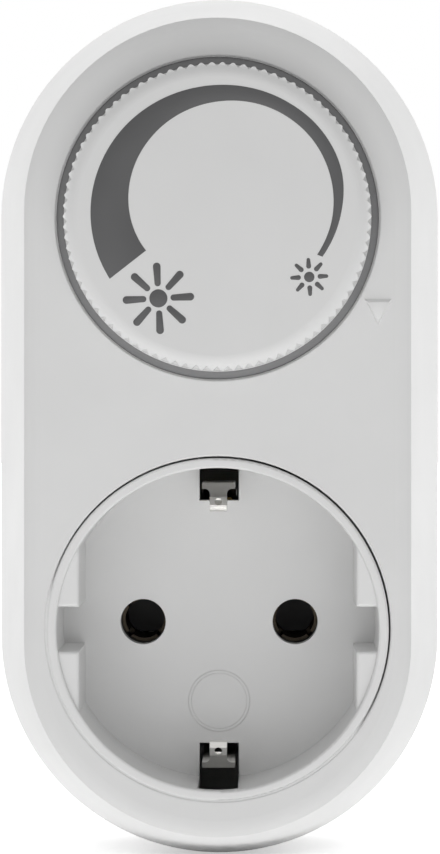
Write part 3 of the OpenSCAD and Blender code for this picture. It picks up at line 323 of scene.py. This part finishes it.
def skin(rows, closed=False):
    """Points and faces of a surface through rows of points: quads between neighbouring rows.

    Each row is a closed loop. A closed surface joins its last row to its first, and an open one
    has a cap on both end rows.
    """
    count, width = rows.shape[:2]
    index = np.arange(count * width).reshape(count, width)
    right, below = np.roll(index, -1, axis=1), np.roll(index, -1, axis=0)
    quads = np.stack([index, right, np.roll(right, -1, axis=0), below], axis=-1)
    if closed:
        return rows.reshape(-1, 3), quads.reshape(-1, 4).tolist()
    faces = quads[:-1].reshape(-1, 4).tolist() + [index[0][::-1].tolist(), index[-1].tolist()]
    return rows.reshape(-1, 3), faces


def turned(middle, radius, level, turns):
    """Points of a section carried round an axis along Y: one row of the section for each turn.

    The section is given by its radii and their levels, and the axis by its X and Z.
    """
    turns = turns[:, None]
    across, up = middle[0] + radius * np.cos(turns), middle[1] + radius * np.sin(turns)
    return np.stack([across, np.broadcast_to(-level, across.shape), up], axis=-1)


def join(parts):
    """One list of points and one of faces from several (points, faces) pairs."""
    points, faces, start = [], [], 0
    for part_points, part_faces in parts:
        points.append(part_points)
        faces += [[start + i for i in face] for face in part_faces]
        start += len(part_points)
    return np.concatenate(points), faces


def add_piece(name, points, faces, material, body, slot):
    """Mesh object at the origin that moves with a body and wears the given material; the slot
    argument is not used.
    """
    mesh = bpy.data.meshes.new(name)
    mesh.from_pydata(points.tolist(), [], faces)
    shell = bmesh.new()
    shell.from_mesh(mesh)
    bmesh.ops.recalc_face_normals(shell, faces=shell.faces)
    shell.to_mesh(mesh)
    shell.free()
    mesh.shade_smooth()
    mesh.set_sharp_from_angle(angle=SHARP_ANGLE)
    mesh.materials.append(material)
    piece = bpy.data.objects.new(name, mesh)
    bpy.context.scene.collection.objects.link(piece)
    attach(piece, body)
    return piece


def ink_plate(across, up, thickness, edge):
    """Thin plate of ink over a convex outline.

    Its three rows are the outline under the dial's face, the outline again below the rounded
    edge, and the outline drawn in towards its middle on top.
    """
    middle = np.array([across.mean(), up.mean()])
    reach = np.hypot(across - middle[0], up - middle[1])
    inset = 1 - edge / reach
    top = [middle[0] + (across - middle[0]) * inset, middle[1] + (up - middle[1]) * inset]
    rows = [
        on_dial(across, up, -thickness / 2),
        on_dial(across, up, thickness - edge / 2),
        on_dial(*top, thickness),
    ]
    return skin(np.stack(rows))


def ray_outline(root, tip, root_width, tip_width, turn):
    """Outline of a ray: half circles as wide as its root and its tip, joined by straight sides."""
    arc = np.linspace(-math.pi / 2, math.pi / 2, RAY_END_STEPS)
    root_r, tip_r = root_width / 2, tip_width / 2
    tip_end = tip - tip_r + tip_r * np.cos(arc)
    root_end = root + root_r - root_r * np.cos(arc)
    along = np.concatenate([tip_end, root_end])
    side = np.concatenate([tip_r * np.sin(arc), -root_r * np.sin(arc)])
    cos, sin = math.cos(turn), math.sin(turn)
    return along * cos - side * sin, along * sin + side * cos


def sun(prints, size):
    """Printed sun, "bright" or "dim": a round disc, and rays round it that are turned evenly."""
    keys = ("place", "disc", "turn", "ray_root", "ray_tip", "root_width", "tip_width")
    (x, z), disc, first_turn, *ray = (getattr(prints, f"{size}_{key}") for key in keys)
    ink = prints.ink_thickness, prints.ink_edge
    around = np.linspace(0, 2 * math.pi, DISC_STEPS, endpoint=False)
    parts = [ink_plate(x + disc * np.cos(around), z + disc * np.sin(around), *ink)]
    for turn in first_turn + np.arange(prints.rays) * 2 * math.pi / prints.rays:
        across, up = ray_outline(*ray, turn)
        parts.append(ink_plate(x + across, z + up, *ink))
    return join(parts)


def scale_arc(prints):
    """Printed arc that tapers clockwise: a flat profile carried round the dial between two edges.

    Both edges are smooth curves of radius over angle, through the stations below.
    """
    stations = np.radians([-22.0, 0.0, 20.0, 40.0, 60.0, 100.0, 140.0, 180.0, 212.0])
    inner = np.array([12.78, 13.78, 14.34, 14.58, 14.42, 13.31, 11.87, 10.38, 9.22]) * MM
    outer = np.array([13.44, 14.74, 15.81, 16.11, 15.97, 15.52, 15.32, 15.10, 14.84]) * MM

    def edge_points(radii, thick_end):
        turns = np.linspace(thick_end, prints.arc_thin_end, prints.arc_steps)
        radius = smooth_curve(stations, radii, turns)
        return np.stack([radius * np.cos(turns), radius * np.sin(turns)], axis=-1)

    inner_edge = edge_points(inner, prints.arc_thick_end)
    over = edge_points(outer, prints.arc_thick_end + prints.arc_cut) - inner_edge
    bevel = prints.ink_edge / np.linalg.norm(over, axis=-1, keepdims=True)
    top = prints.ink_thickness
    root, shoulder = -top / 2, top - prints.ink_edge / 2
    left = [(0.0, root), (0.0, shoulder), (bevel, top)]
    right = [(1 - bevel, top), (1.0, shoulder), (1.0, root)]
    columns = [
        on_dial(*(inner_edge + share * over).T, height)
        for share, height in (*left, (0.5, top), *right)
    ]
    return skin(np.stack(columns, axis=1))


def dial_band(radius, level, foot):
    """Band round the dial's axis under a profile of level over radius, closed by a flat foot."""
    radius = np.concatenate([radius, radius[[-1, 0]]])
    level = np.concatenate([level, [foot, foot]])
    turns = np.linspace(0, 2 * math.pi, DIAL_STEPS, endpoint=False)
    return skin(turned((DIAL_X, DIAL_Z), radius, level, turns), True)


def crowned_ring(trim):
    """Ring round the knob, turned about the dial.

    Its section falls outwards by a power of the share of the way across.
    """
    share = np.linspace(0, 1, RING_STEPS)
    radius = trim.ring_inner + (trim.ring_outer - trim.ring_inner) * share
    level = RING_LEVEL + trim.ring_edge + trim.ring_rise * (1 - share**trim.ring_power)
    return dial_band(radius, level, RING_LEVEL - trim.band_root)


def knob_foot(trim):
    """White foot under the knob's teeth: a band with a half-round top, turned about the dial."""
    t = np.linspace(0, math.pi, FOOT_STEPS)
    half = (trim.foot_outer - trim.foot_inner) / 2
    radius = trim.foot_inner + half * (1 - np.cos(t))
    level = RING_LEVEL + trim.foot_rise + half * (np.sin(t) - 1)
    return dial_band(radius, level, RING_LEVEL - trim.band_root)


def pocket_lip(trim):
    """Lip of the dial's pocket: a thin band with a round inner corner, turned about the dial."""
    t = np.linspace(0, math.pi / 2, LIP_STEPS)
    top = PANEL_LEVEL - trim.lip_depth
    radius = np.append(trim.lip_inner + trim.lip_corner * (1 - np.cos(t)), trim.lip_outer)
    level = np.append(top - trim.lip_corner * (1 - np.sin(t)), top)
    return dial_band(radius, level, top - trim.lip_thickness)


def seam_web(trim):
    """Web that closes the socket's seam below and on the left: a flat band turned about the socket.

    Near each end its depth grows by the square of the share of the way to that end.
    """
    turns = np.linspace(trim.seam_from, trim.seam_to, SEAM_STEPS)
    from_end = np.minimum(turns - turns[0], turns[-1] - turns)[:, None]
    ease = np.clip(1 - from_end / trim.seam_ease, 0, 1)
    top = PANEL_LEVEL - trim.seam_depth - trim.seam_fall * ease**2
    radius = np.array([trim.seam_inner, trim.seam_outer, trim.seam_outer, trim.seam_inner])
    level = top - np.array([0, 0, trim.seam_thickness, trim.seam_thickness])
    return skin(turned((0.0, 0.0), radius, level, turns))


def index_mark(trim):
    """Raised index mark: a triangle on its point that shrinks from its foot to its top.

    A shoulder close under the top rounds the edge.
    """
    x, z = DIAL_X + trim.mark_place[0], DIAL_Z + trim.mark_place[1]
    corners = np.array([[-0.5, 0.5], [0.0, -0.5], [0.5, 0.5]]) * [trim.mark_side, trim.mark_drop]
    size = np.array([1.0, trim.mark_shoulder, trim.mark_top])[:, None, None]
    shoulder_rise = trim.mark_shoulder_rise * trim.mark_rise
    out = np.array([-trim.mark_root, shoulder_rise, trim.mark_rise])
    outline = size * corners
    level = np.broadcast_to(-(PANEL_LEVEL + out)[:, None], outline.shape[:2])
    return skin(np.stack([x + outline[..., 0], level, z + outline[..., 1]], axis=-1))


def winding_wire(trim):
    """Choke's wire: a round tube whose path circles the core's section as it goes round the core.

    Round the section the path is a superellipse of the sixth power, so the wire lies flat on the
    core's four sides.
    """
    low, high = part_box("choke_core")
    core_r, half = (high.x - low.x) / 2, (high.y - low.y) / 2
    way = np.linspace(0, 1, WIRE_STEPS * trim.wire_turns + 1)
    ring = trim.wire_gap / 2 - math.pi + way * (2 * math.pi - trim.wire_gap)
    section = math.pi / 2 + way * 2 * math.pi * trim.wire_turns
    lift = trim.wire_radius + trim.wire_clear
    across = np.cbrt(np.cos(section)) * ((core_r - trim.core_bore) / 2 + lift)
    along = np.cbrt(np.sin(section)) * (half + lift)
    radius = (core_r + trim.core_bore) / 2 + across
    path = np.stack([radius * np.cos(ring), along, radius * np.sin(ring)], axis=-1)
    spine = np.array((low + high) / 2) + path
    ahead = np.gradient(spine, axis=0)
    ahead /= np.linalg.norm(ahead, axis=1, keepdims=True)
    side = np.stack([-np.sin(ring), 0 * ring, np.cos(ring)], axis=-1)
    side -= (side * ahead).sum(axis=1, keepdims=True) * ahead
    side /= np.linalg.norm(side, axis=1, keepdims=True)
    turn = np.linspace(0, 2 * math.pi, WIRE_SIDES, endpoint=False)[None, :, None]
    rim = np.cos(turn) * side[:, None] + np.sin(turn) * np.cross(ahead, side)[:, None]
    return skin(spine[:, None] + trim.wire_radius * rim)


def feed(tree, socket, value):
    """Gives an input socket a plain value, or links another socket to it."""
    if isinstance(value, bpy.types.NodeSocket):
        tree.links.new(value, socket)
    else:
        socket.default_value = value


def node(tree, kind, **values):
    """New shader node with its own settings, and with values or links for its named inputs."""
    made = tree.nodes.new(kind)
    for key, value in values.items():
        if key in made.inputs:
            feed(tree, made.inputs[key], value)
        else:
            setattr(made, key, value)
    return made


def maths(tree, operation, *values, vector=False):
    """Result of a maths node on values or sockets."""
    kind = "ShaderNodeVectorMath" if vector else "ShaderNodeMath"
    made = node(tree, kind, operation=operation)
    for socket, value in zip(made.inputs, values):
        feed(tree, socket, value)
    return made.outputs["Vector" if vector and operation != "LENGTH" else "Value"]


def object_place(tree):
    """Place of a point in its object's own coordinates."""
    return node(tree, "ShaderNodeTexCoord").outputs["Object"]


def noise(tree, spot, scale, detail, roughness):
    """Value of a noise texture at a place."""
    made = node(
        tree, "ShaderNodeTexNoise", Vector=spot, Scale=scale, Detail=detail, Roughness=roughness
    )
    return made.outputs["Fac"]


def spread(tree, source, low, high, run=NOISE_RUN):
    """Socket whose run of values is spread between two ends, each a value or a socket."""
    made = node(tree, "ShaderNodeMapRange", Value=source)
    ends = ("From Min", "From Max", "To Min", "To Max")
    for end, value in zip(ends, (*run, low, high)):
        feed(tree, made.inputs[end], value)
    return made.outputs["Result"]


def blend_colour(tree, factor, first, second, blend="MIX"):
    """Mix of two colours by a factor, each a value or a socket."""
    made = node(tree, "ShaderNodeMix", data_type="RGBA", blend_type=blend, Factor=factor)
    feed(tree, made.inputs[MIX_FIRST], first)
    feed(tree, made.inputs[MIX_SECOND], second)
    return made.outputs[MIX_RESULT]


def new_group(name, inputs):
    """Shader node group with its inputs, which puts out colour, roughness and height.

    Returns the group's tree, the sockets of its inputs and the sockets of its outputs.
    """
    tree = bpy.data.node_groups.new(name, "ShaderNodeTree")
    for label, kind, value in inputs:
        socket = tree.interface.new_socket(
            name=label, in_out="INPUT", socket_type="NodeSocket" + kind
        )
        socket.default_value = value
    for label, kind in (("Colour", "Color"), ("Roughness", "Float"), ("Height", "Float")):
        tree.interface.new_socket(name=label, in_out="OUTPUT", socket_type="NodeSocket" + kind)
    given, out = tree.nodes.new("NodeGroupInput"), tree.nodes.new("NodeGroupOutput")
    return tree, given.outputs, out.inputs


def moulded_skin_group():
    """Moulded plastic: broad tint drift, fine spark-eroded grain, and gloss that follows both."""
    tree, given, out = new_group(
        "Moulded skin",
        [
            ("Colour", "Color", (0.8, 0.8, 0.8, 1)),
            ("Drift colour", "Color", (0.75, 0.75, 0.74, 1)),
            ("Grain", "Float", 3500.0),
            ("Drift", "Float", 60.0),
            ("Glossiest", "Float", 0.35),
            ("Dullest", "Float", 0.5),
        ],
    )
    spot = object_place(tree)
    drift = noise(tree, spot, given["Drift"], detail=3.0, roughness=0.6)
    grain = noise(tree, spot, given["Grain"], detail=2.0, roughness=0.7)
    tint = spread(tree, drift, low=0.0, high=1.0)
    mean = maths(tree, "MULTIPLY", maths(tree, "ADD", drift, grain), 0.5)
    gloss = spread(tree, mean, given["Glossiest"], given["Dullest"])
    feed(tree, out["Colour"], blend_colour(tree, tint, given["Colour"], given["Drift colour"]))
    feed(tree, out["Roughness"], gloss)
    feed(tree, out["Height"], grain)
    return tree


def drawn_metal_group():
    """Drawn or plated metal: streaks along an axis, gloss that follows them, and cloudy tarnish."""
    tree, given, out = new_group(
        "Drawn metal",
        [
            ("Colour", "Color", (0.7, 0.7, 0.7, 1)),
            ("Tarnish", "Color", (0.5, 0.48, 0.45, 1)),
            ("Streaks", "Vector", (4000.0, 150.0, 4000.0)),
            ("Clouds", "Float", 220.0),
            ("Glossiest", "Float", 0.16),
            ("Dullest", "Float", 0.36),
        ],
    )
    spot = object_place(tree)
    stretched = maths(tree, "MULTIPLY", spot, given["Streaks"], vector=True)
    streaks = noise(tree, stretched, 1.0, detail=3.0, roughness=0.65)
    clouds = noise(tree, spot, given["Clouds"], detail=4.0, roughness=0.6)
    dull = spread(tree, clouds, low=0.0, high=0.8)
    gloss = spread(tree, streaks, given["Glossiest"], given["Dullest"])
    feed(tree, out["Colour"], blend_colour(tree, dull, given["Colour"], given["Tarnish"]))
    feed(tree, out["Roughness"], gloss)
    feed(tree, out["Height"], streaks)
    return tree


def shared_group(name, build):
    """The node group of that name, built once."""
    return bpy.data.node_groups.get(name) or build()


def new_material(name):
    """Material with a plain Principled shader; returns the material, its tree and the shader."""
    material = bpy.data.materials.new(name)
    material.use_nodes = True
    tree = material.node_tree
    return material, tree, tree.nodes["Principled BSDF"]


def place_group(tree, group, **values):
    """Group node in a material, with its values."""
    placed = node(tree, "ShaderNodeGroup", node_tree=group)
    for label, value in values.items():
        placed.inputs[label.replace("_", " ")].default_value = value
    return placed


def finish_surface(tree, shader, effect, bump, depth, edge=0.0):
    """Feeds a group's colour, roughness and height to the shader, over edges of a small radius."""
    height = effect.outputs["Height"]
    relief = node(tree, "ShaderNodeBump", Strength=bump, Distance=depth, Height=height)
    if edge:
        rounded = node(tree, "ShaderNodeBevel", samples=4, Radius=edge)
        feed(tree, relief.inputs["Normal"], rounded.outputs["Normal"])
    feed(tree, shader.inputs["Base Color"], effect.outputs["Colour"])
    feed(tree, shader.inputs["Roughness"], effect.outputs["Roughness"])
    feed(tree, shader.inputs["Normal"], relief.outputs["Normal"])


def darker(rgba, share):
    """Colour with a share of its light taken away."""
    return tuple(value * (1 - share) for value in rgba[:3]) + (1.0,)


def plastic(
    name, rgba, drift=0.03, grain=3500.0, gloss=(0.36, 0.52), bump=0.25, edge=0.0, specular=0.5
):
    """Moulded plastic in one colour."""
    material, tree, shader = new_material(name)
    shader.inputs["Specular IOR Level"].default_value = specular
    effect = place_group(
        tree,
        shared_group("Moulded skin", moulded_skin_group),
        Colour=tuple(rgba),
        Drift_colour=darker(rgba, drift),
        Grain=grain,
        Glossiest=gloss[0],
        Dullest=gloss[1],
    )
    finish_surface(tree, shader, effect, bump, GRAIN_DEPTH, edge)
    return material


def metal(name, rgba, across=5000.0, along=250.0, tarnish=0.1, gloss=(0.24, 0.32), bump=0.04):
    """Bare or plated metal in one colour, with streaks along Y.

    across and along are the scales of the streaks' noise across them and along them.
    """
    material, tree, shader = new_material(name)
    shader.inputs["Metallic"].default_value = 1.0
    effect = place_group(
        tree,
        shared_group("Drawn metal", drawn_metal_group),
        Colour=tuple(rgba),
        Tarnish=darker(rgba, tarnish),
        Streaks=(across, along, across),
        Glossiest=gloss[0],
        Dullest=gloss[1],
    )
    finish_surface(tree, shader, effect, bump, STREAK_DEPTH)
    return material


def repaint(material, paint, share=0.12):
    """Feeds a colour socket into a material's group, with a darker copy as its second colour."""
    tree = material.node_tree
    effect = next(item for item in tree.nodes if item.bl_idname == "ShaderNodeGroup")
    dull = blend_colour(tree, 1.0, paint, darker((1.0, 1.0, 1.0), share), "MULTIPLY")
    feed(tree, effect.inputs[0], paint)
    feed(tree, effect.inputs[1], dull)


def colour_steps(tree, source, stops, blend="CONSTANT"):
    """Colour that a ramp gives for a socket: each stop's colour from its place on, or blended."""
    ramp = node(tree, "ShaderNodeValToRGB", Fac=source)
    band = ramp.color_ramp
    band.interpolation = blend
    while len(band.elements) < len(stops):
        band.elements.new(0.5)
    for element, (spot, rgba) in zip(band.elements, stops):
        element.position = spot
        element.color = tuple(rgba)
    return ramp.outputs["Color"]


def resistor_bands(material, finish):
    """Colour bands across the resistors: steps along Z, with bare leads at both ends."""
    tree = material.node_tree
    low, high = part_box("resistors")
    split = node(tree, "ShaderNodeSeparateXYZ", Vector=object_place(tree))
    along = spread(tree, split.outputs["Z"], 0.0, 1.0, (low.z, high.z))
    body_start, body_end, band_width = 0.19, 0.81, 0.05
    brown, black = (0.12, 0.04, 0.02, 1.0), (0.02, 0.02, 0.02, 1.0)
    yellow, gold = (0.6, 0.42, 0.03, 1.0), (0.48, 0.3, 0.08, 1.0)
    stops = [(0.0, finish.lead), (body_start, finish.resistor)]
    for spot, rgba in ((0.27, brown), (0.38, black), (0.49, yellow), (0.67, gold)):
        stops += [(spot, rgba), (spot + band_width, finish.resistor)]
    repaint(material, colour_steps(tree, along, stops + [(body_end, finish.lead)]))


def board_tracks(material, finish):
    """Copper under green lacquer: squarish islands of a cell pattern, parted by bare lines.

    A bare line runs where a point's nearest two cells are almost as near as each other.
    """
    tree = material.node_tree
    spot = object_place(tree)
    second, nearest = (
        node(
            tree,
            "ShaderNodeTexVoronoi",
            feature=feature,
            distance="CHEBYCHEV",
            Vector=spot,
            Scale=240.0,
            Randomness=0.8,
        ).outputs["Distance"]
        for feature in ("F2", "F1")
    )
    apart = maths(tree, "SUBTRACT", second, nearest)
    line_edge, island_edge = 0.06, 0.1
    stops = [(line_edge, finish.bare_board), (island_edge, finish.lacquer)]
    repaint(material, colour_steps(tree, apart, stops, "LINEAR"))


def glass(name, rgba):
    """Clear glass with faint drawing marks."""
    material = plastic(name, rgba, drift=0.02, grain=1200.0, gloss=(0.02, 0.08), bump=0.05)
    shader = material.node_tree.nodes["Principled BSDF"]
    shader.inputs["Transmission Weight"].default_value = 1.0
    shader.inputs["IOR"].default_value = GLASS_INDEX
    return material


def dress(material, *names):
    """Gives CAD nodes one material."""
    for name in names:
        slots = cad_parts[name].data.materials
        slots.clear()
        slots.append(material)


class DIMMER_OT_housing(bpy.types.Operator):
    """White satin moulding of both halves, the pocket's lip, the seam's web and the index mark"""

    bl_idname = "dimmer.housing"
    bl_label = "Finish the housing"

    def execute(self, context):
        finish, trim = context.scene.dimmer_finish, context.scene.dimmer_trim
        white = plastic("Housing white", finish.shell, edge=finish.case_edge)
        dress(white, "front_cover", "rear_housing")
        add_piece("pocket_lip", *pocket_lip(trim), white, "housing", "shell_white")
        add_piece("seam_web", *seam_web(trim), white, "housing", "shell_white")
        add_piece("index_mark", *index_mark(trim), white, "housing", "shell_white")
        return {"FINISHED"}


class DIMMER_OT_socket(bpy.types.Operator):
    """Slightly glossier white moulding on the socket's cup"""

    bl_idname = "dimmer.socket"
    bl_label = "Finish the socket"

    def execute(self, context):
        finish = context.scene.dimmer_finish
        white = plastic("Socket white", finish.socket, gloss=(0.30, 0.46), edge=finish.case_edge)
        dress(white, "socket_insert")
        return {"FINISHED"}


class DIMMER_OT_dial(bpy.types.Operator):
    """White knob with its foot, and the grey carrier with its crowned ring"""

    bl_idname = "dimmer.dial"
    bl_label = "Finish the dial"

    def execute(self, context):
        finish, trim = context.scene.dimmer_finish, context.scene.dimmer_trim
        white = plastic("Dial white", finish.dial, edge=finish.dial_edge)
        dress(white, "dial_knob")
        add_piece("knob_foot", *knob_foot(trim), white, "dial", "dial_white")
        grey = plastic("Ring grey", finish.ring, drift=0.1, gloss=(0.45, 0.6), specular=0.15)
        dress(grey, "dial_carrier")
        add_piece("crowned_ring", *crowned_ring(trim), grey, "dial", "ring_grey")
        return {"FINISHED"}


class DIMMER_OT_dial_print(bpy.types.Operator):
    """Brightness scale on the dial: a tapering arc, a large sun and a small sun"""

    bl_idname = "dimmer.dial_print"
    bl_label = "Print the dial"

    def execute(self, context):
        prints, finish = context.scene.dimmer_print, context.scene.dimmer_finish
        ink = plastic("Print grey", finish.ink, drift=0.12, grain=9000.0, gloss=(0.40, 0.60))
        add_piece("scale_arc", *scale_arc(prints), ink, "dial", "ring_grey")
        for size in ("bright", "dim"):
            add_piece(size + "_sun", *sun(prints, size), ink, "dial", "ring_grey")
        return {"FINISHED"}


class DIMMER_OT_metalwork(bpy.types.Operator):
    """Nickel, zinc, brass and bronze of pins, earth strips, contacts and screws; the contact
    sleeves' bronze is darkened as painted shade of the deep pin holes
    """

    bl_idname = "dimmer.metalwork"
    bl_label = "Finish the metal parts"

    def execute(self, context):
        finish = context.scene.dimmer_finish
        nickel = metal("Pin nickel", finish.nickel)
        dress(nickel, "line_pin", "neutral_pin", "earth_rivets", "fuse_caps")
        clips = metal("Earth nickel", finish.clip, gloss=(0.36, 0.42), bump=0.01)
        dress(clips, "upper_earth_strip", "lower_earth_strip")
        steel = metal("Zinc steel", finish.steel, 4000.0, 800.0, gloss=(0.22, 0.42))
        dress(steel, "dial_clip", "housing_screws", "potentiometer_shaft", "potentiometer_case")
        brass = metal("Rolled brass", finish.brass, gloss=(0.2, 0.4))
        dress(brass, "neutral_link", "earth_link", "fuse_clips", "potentiometer_bushing")
        # The sleeves' colour and heavy tarnish are darkened as painted shade of the deep pin holes.
        bronze = metal("Spring bronze", finish.bronze, tarnish=0.35, gloss=(0.42, 0.6))
        dress(bronze, "line_contact", "neutral_contact")
        return {"FINISHED"}


class DIMMER_OT_inside(bpy.types.Operator):
    """Board, components, contact carrier and wires"""

    bl_idname = "dimmer.inside"
    bl_label = "Finish the inside"

    def execute(self, context):
        finish, trim = context.scene.dimmer_finish, context.scene.dimmer_trim
        plain = (
            ("Carrier black", finish.black, (0.4, 0.6), ("contact_carrier", "triac")),
            ("Capacitor yellow", finish.yellow, (0.15, 0.3), ("suppression_capacitor",)),
            ("Capacitor red", finish.red, (0.1, 0.25), ("timing_capacitor",)),
            ("Ferrite", finish.ferrite, (0.5, 0.7), ("choke_core",)),
            ("Diac blue", finish.diac, (0.15, 0.3), ("diac",)),
            ("Wire brown", finish.wire_brown, (0.35, 0.5), ("line_wire",)),
            ("Wire black", finish.wire_black, (0.35, 0.5), ("load_wire",)),
            ("Wire blue", finish.wire_blue, (0.35, 0.5), ("neutral_wire",)),
        )
        for name, rgba, gloss, nodes in plain:
            dress(plastic(name, rgba, gloss=gloss), *nodes)
        board = plastic("Board green", finish.lacquer, gloss=(0.2, 0.4))
        board_tracks(board, finish)
        dress(board, "circuit_board")
        resistor = plastic("Resistor beige", finish.resistor, gloss=(0.2, 0.35))
        resistor_bands(resistor, finish)
        dress(resistor, "resistors")
        dress(glass("Fuse glass", finish.glass), "fuse_tube")
        dress(metal("Sink aluminium", finish.aluminium, 3000.0, 200.0), "heat_sink")
        winding = metal("Winding copper", finish.copper, 3000.0, 300.0)
        dress(winding, "choke_winding")
        wire = add_piece("winding_wire", *winding_wire(trim), winding, "housing", "copper")
        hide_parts("choke_winding")
        return {"FINISHED"}


def seen_ray(tree):
    """1 for camera, glossy and transmission rays, which see the stage's own white."""
    path = node(tree, "ShaderNodeLightPath").outputs
    seen = maths(tree, "MAXIMUM", path["Is Camera Ray"], path["Is Glossy Ray"])
    return maths(tree, "MAXIMUM", seen, path["Is Transmission Ray"])


def far_lift(tree, stage):
    """Light that whitens the floor: the set strength near the object, and full white far away."""
    reach = maths(tree, "LENGTH", object_place(tree), vector=True)
    return spread(tree, reach, stage.floor_lift, 1.0, (stage.lift_near, stage.lift_far))


def pad_clear(tree, stage):
    """0 in the pad under the object, which is an ellipse, and 1 outside its narrow soft edge."""
    middle = (0.0, (CAD_BOX[0][1] + CAD_BOX[1][1]) / 2, FOOT_Z)
    apart = maths(tree, "SUBTRACT", object_place(tree), middle, vector=True)
    share = maths(tree, "DIVIDE", apart, stage.pad_size, vector=True)
    return spread(tree, maths(tree, "LENGTH", share, vector=True), 0.0, 1.0, PAD_EDGE)


def floor_material(stage):
    """Pale matt floor, whitened for the camera without more light on the object.

    It lets lamplight through from below, as a light table does, except in a pad under the object,
    which keeps the edge of the object's foot dark.
    """
    material = bpy.data.materials.new("Stage floor")
    material.use_nodes = True
    tree = material.node_tree
    tree.nodes.clear()
    matt = node(tree, "ShaderNodeBsdfDiffuse", Color=tuple(stage.floor_colour))
    lift = maths(tree, "MULTIPLY", seen_ray(tree), far_lift(tree, stage))
    glow = node(tree, "ShaderNodeEmission", Strength=lift)
    white = node(tree, "ShaderNodeAddShader")
    feed(tree, white.inputs[0], matt.outputs[0])
    feed(tree, white.inputs[1], glow.outputs[0])
    shadow = node(tree, "ShaderNodeLightPath").outputs["Is Shadow Ray"]
    passed = maths(tree, "MULTIPLY", shadow, pad_clear(tree, stage))
    table = node(tree, "ShaderNodeMixShader", Fac=passed)
    feed(tree, table.inputs[1], white.outputs[0])
    feed(tree, table.inputs[2], node(tree, "ShaderNodeBsdfTransparent").outputs[0])
    node(tree, "ShaderNodeOutputMaterial", Surface=table.outputs[0])
    return material


def add_floor(stage):
    """Flat floor under the object."""
    left, right = -stage.floor_side, stage.floor_side
    front, back = -stage.floor_front, stage.floor_back
    corners = [(left, front), (right, front), (right, back), (left, back)]
    mesh = bpy.data.meshes.new("floor")
    mesh.from_pydata([(*corner, FOOT_Z) for corner in corners], [], [(0, 1, 2, 3)])
    mesh.materials.append(floor_material(stage))
    floor = bpy.data.objects.new("floor", mesh)
    bpy.context.scene.collection.objects.link(floor)


def set_surround(stage):
    """White world that gives less light than the camera sees."""
    world = bpy.data.worlds.new("Surround")
    world.use_nodes = True
    tree = world.node_tree
    glow = tree.nodes["Background"]
    glow.inputs["Color"].default_value = (1.0, 1.0, 1.0, 1.0)
    strength = spread(tree, seen_ray(tree), stage.world_light, 1.0, (0.0, 1.0))
    feed(tree, glow.inputs["Strength"], strength)
    bpy.context.scene.world = world


def add_lamp(name, stand, size, power):
    """Rectangular soft lamp. From under the floor, only its direct light gets through."""
    data = bpy.data.lights.new(name, "AREA")
    data.cycles.use_multiple_importance_sampling = stand[2] > FOOT_Z
    data.shape = "RECTANGLE"
    data.size, data.size_y = size
    data.energy = power
    lamp = bpy.data.objects.new(name, data)
    lamp.location = stand
    lamp.rotation_euler = (Vector(LAMP_AIM) - Vector(stand)).to_track_quat("-Z", "Y").to_euler()
    bpy.context.scene.collection.objects.link(lamp)


def add_camera(stage):
    """Level camera that faces the front, shifted as the photograph's framing needs."""
    data = bpy.data.cameras.new("camera")
    data.sensor_width = SENSOR
    data.sensor_fit = "AUTO"
    data.lens = stage.lens
    data.shift_x, data.shift_y = stage.shift_x, stage.shift_y
    data.clip_start, data.clip_end = 0.01, 20.0
    camera = bpy.data.objects.new("camera", data)
    camera.location = stage.camera_place
    camera.rotation_euler = (math.pi / 2, 0.0, 0.0)
    bpy.context.scene.collection.objects.link(camera)
    bpy.context.scene.camera = camera


class DIMMER_OT_stage(bpy.types.Operator):
    """White floor and surround, soft lamps behind, above and below, and the camera"""

    bl_idname = "dimmer.stage"
    bl_label = "Set the stage"

    def execute(self, context):
        stage = context.scene.dimmer_stage
        context.scene.view_settings.view_transform = "Standard"
        add_floor(stage)
        set_surround(stage)
        for name, (stand, size) in LAMPS.items():
            add_lamp("lamp_" + name, stand, size, getattr(stage, name + "_power"))
        add_camera(stage)
        return {"FINISHED"}


class DIMMER_PT_sidebar(bpy.types.Panel):
    """Lists the steps that finish the dimmer"""

    bl_idname = "DIMMER_PT_sidebar"
    bl_label = "Plug-in dimmer"
    bl_space_type = "VIEW_3D"
    bl_region_type = "UI"
    bl_category = "Dimmer"

    def draw(self, context):
        for step in STEPS:
            self.layout.operator(step.bl_idname)


STEPS = (
    DIMMER_OT_stage,
    DIMMER_OT_housing,
    DIMMER_OT_socket,
    DIMMER_OT_dial,
    DIMMER_OT_dial_print,
    DIMMER_OT_metalwork,
    DIMMER_OT_inside,
)
GROUPS = {
    "dimmer_print": PrintSettings,
    "dimmer_trim": TrimSettings,
    "dimmer_finish": FinishSettings,
    "dimmer_stage": StageSettings,
}


def register():
    """Adds the settings to the scene, and the steps and the panel to Blender."""
    for group in GROUPS.values():
        bpy.utils.register_class(group)
    for name, group in GROUPS.items():
        setattr(bpy.types.Scene, name, PointerProperty(type=group))
    for step in (*STEPS, DIMMER_PT_sidebar):
        bpy.utils.register_class(step)


def unregister():
    """Takes away what register adds."""
    for step in (DIMMER_PT_sidebar, *reversed(STEPS)):
        bpy.utils.unregister_class(step)
    for name in GROUPS:
        delattr(bpy.types.Scene, name)
    for group in GROUPS.values():
        bpy.utils.unregister_class(group)


def main():
    """Runs every step in order."""
    register()
    for step in STEPS:
        family, name = step.bl_idname.split(".")
        getattr(getattr(bpy.ops, family), name)()


if __name__ == "__main__":
    main()
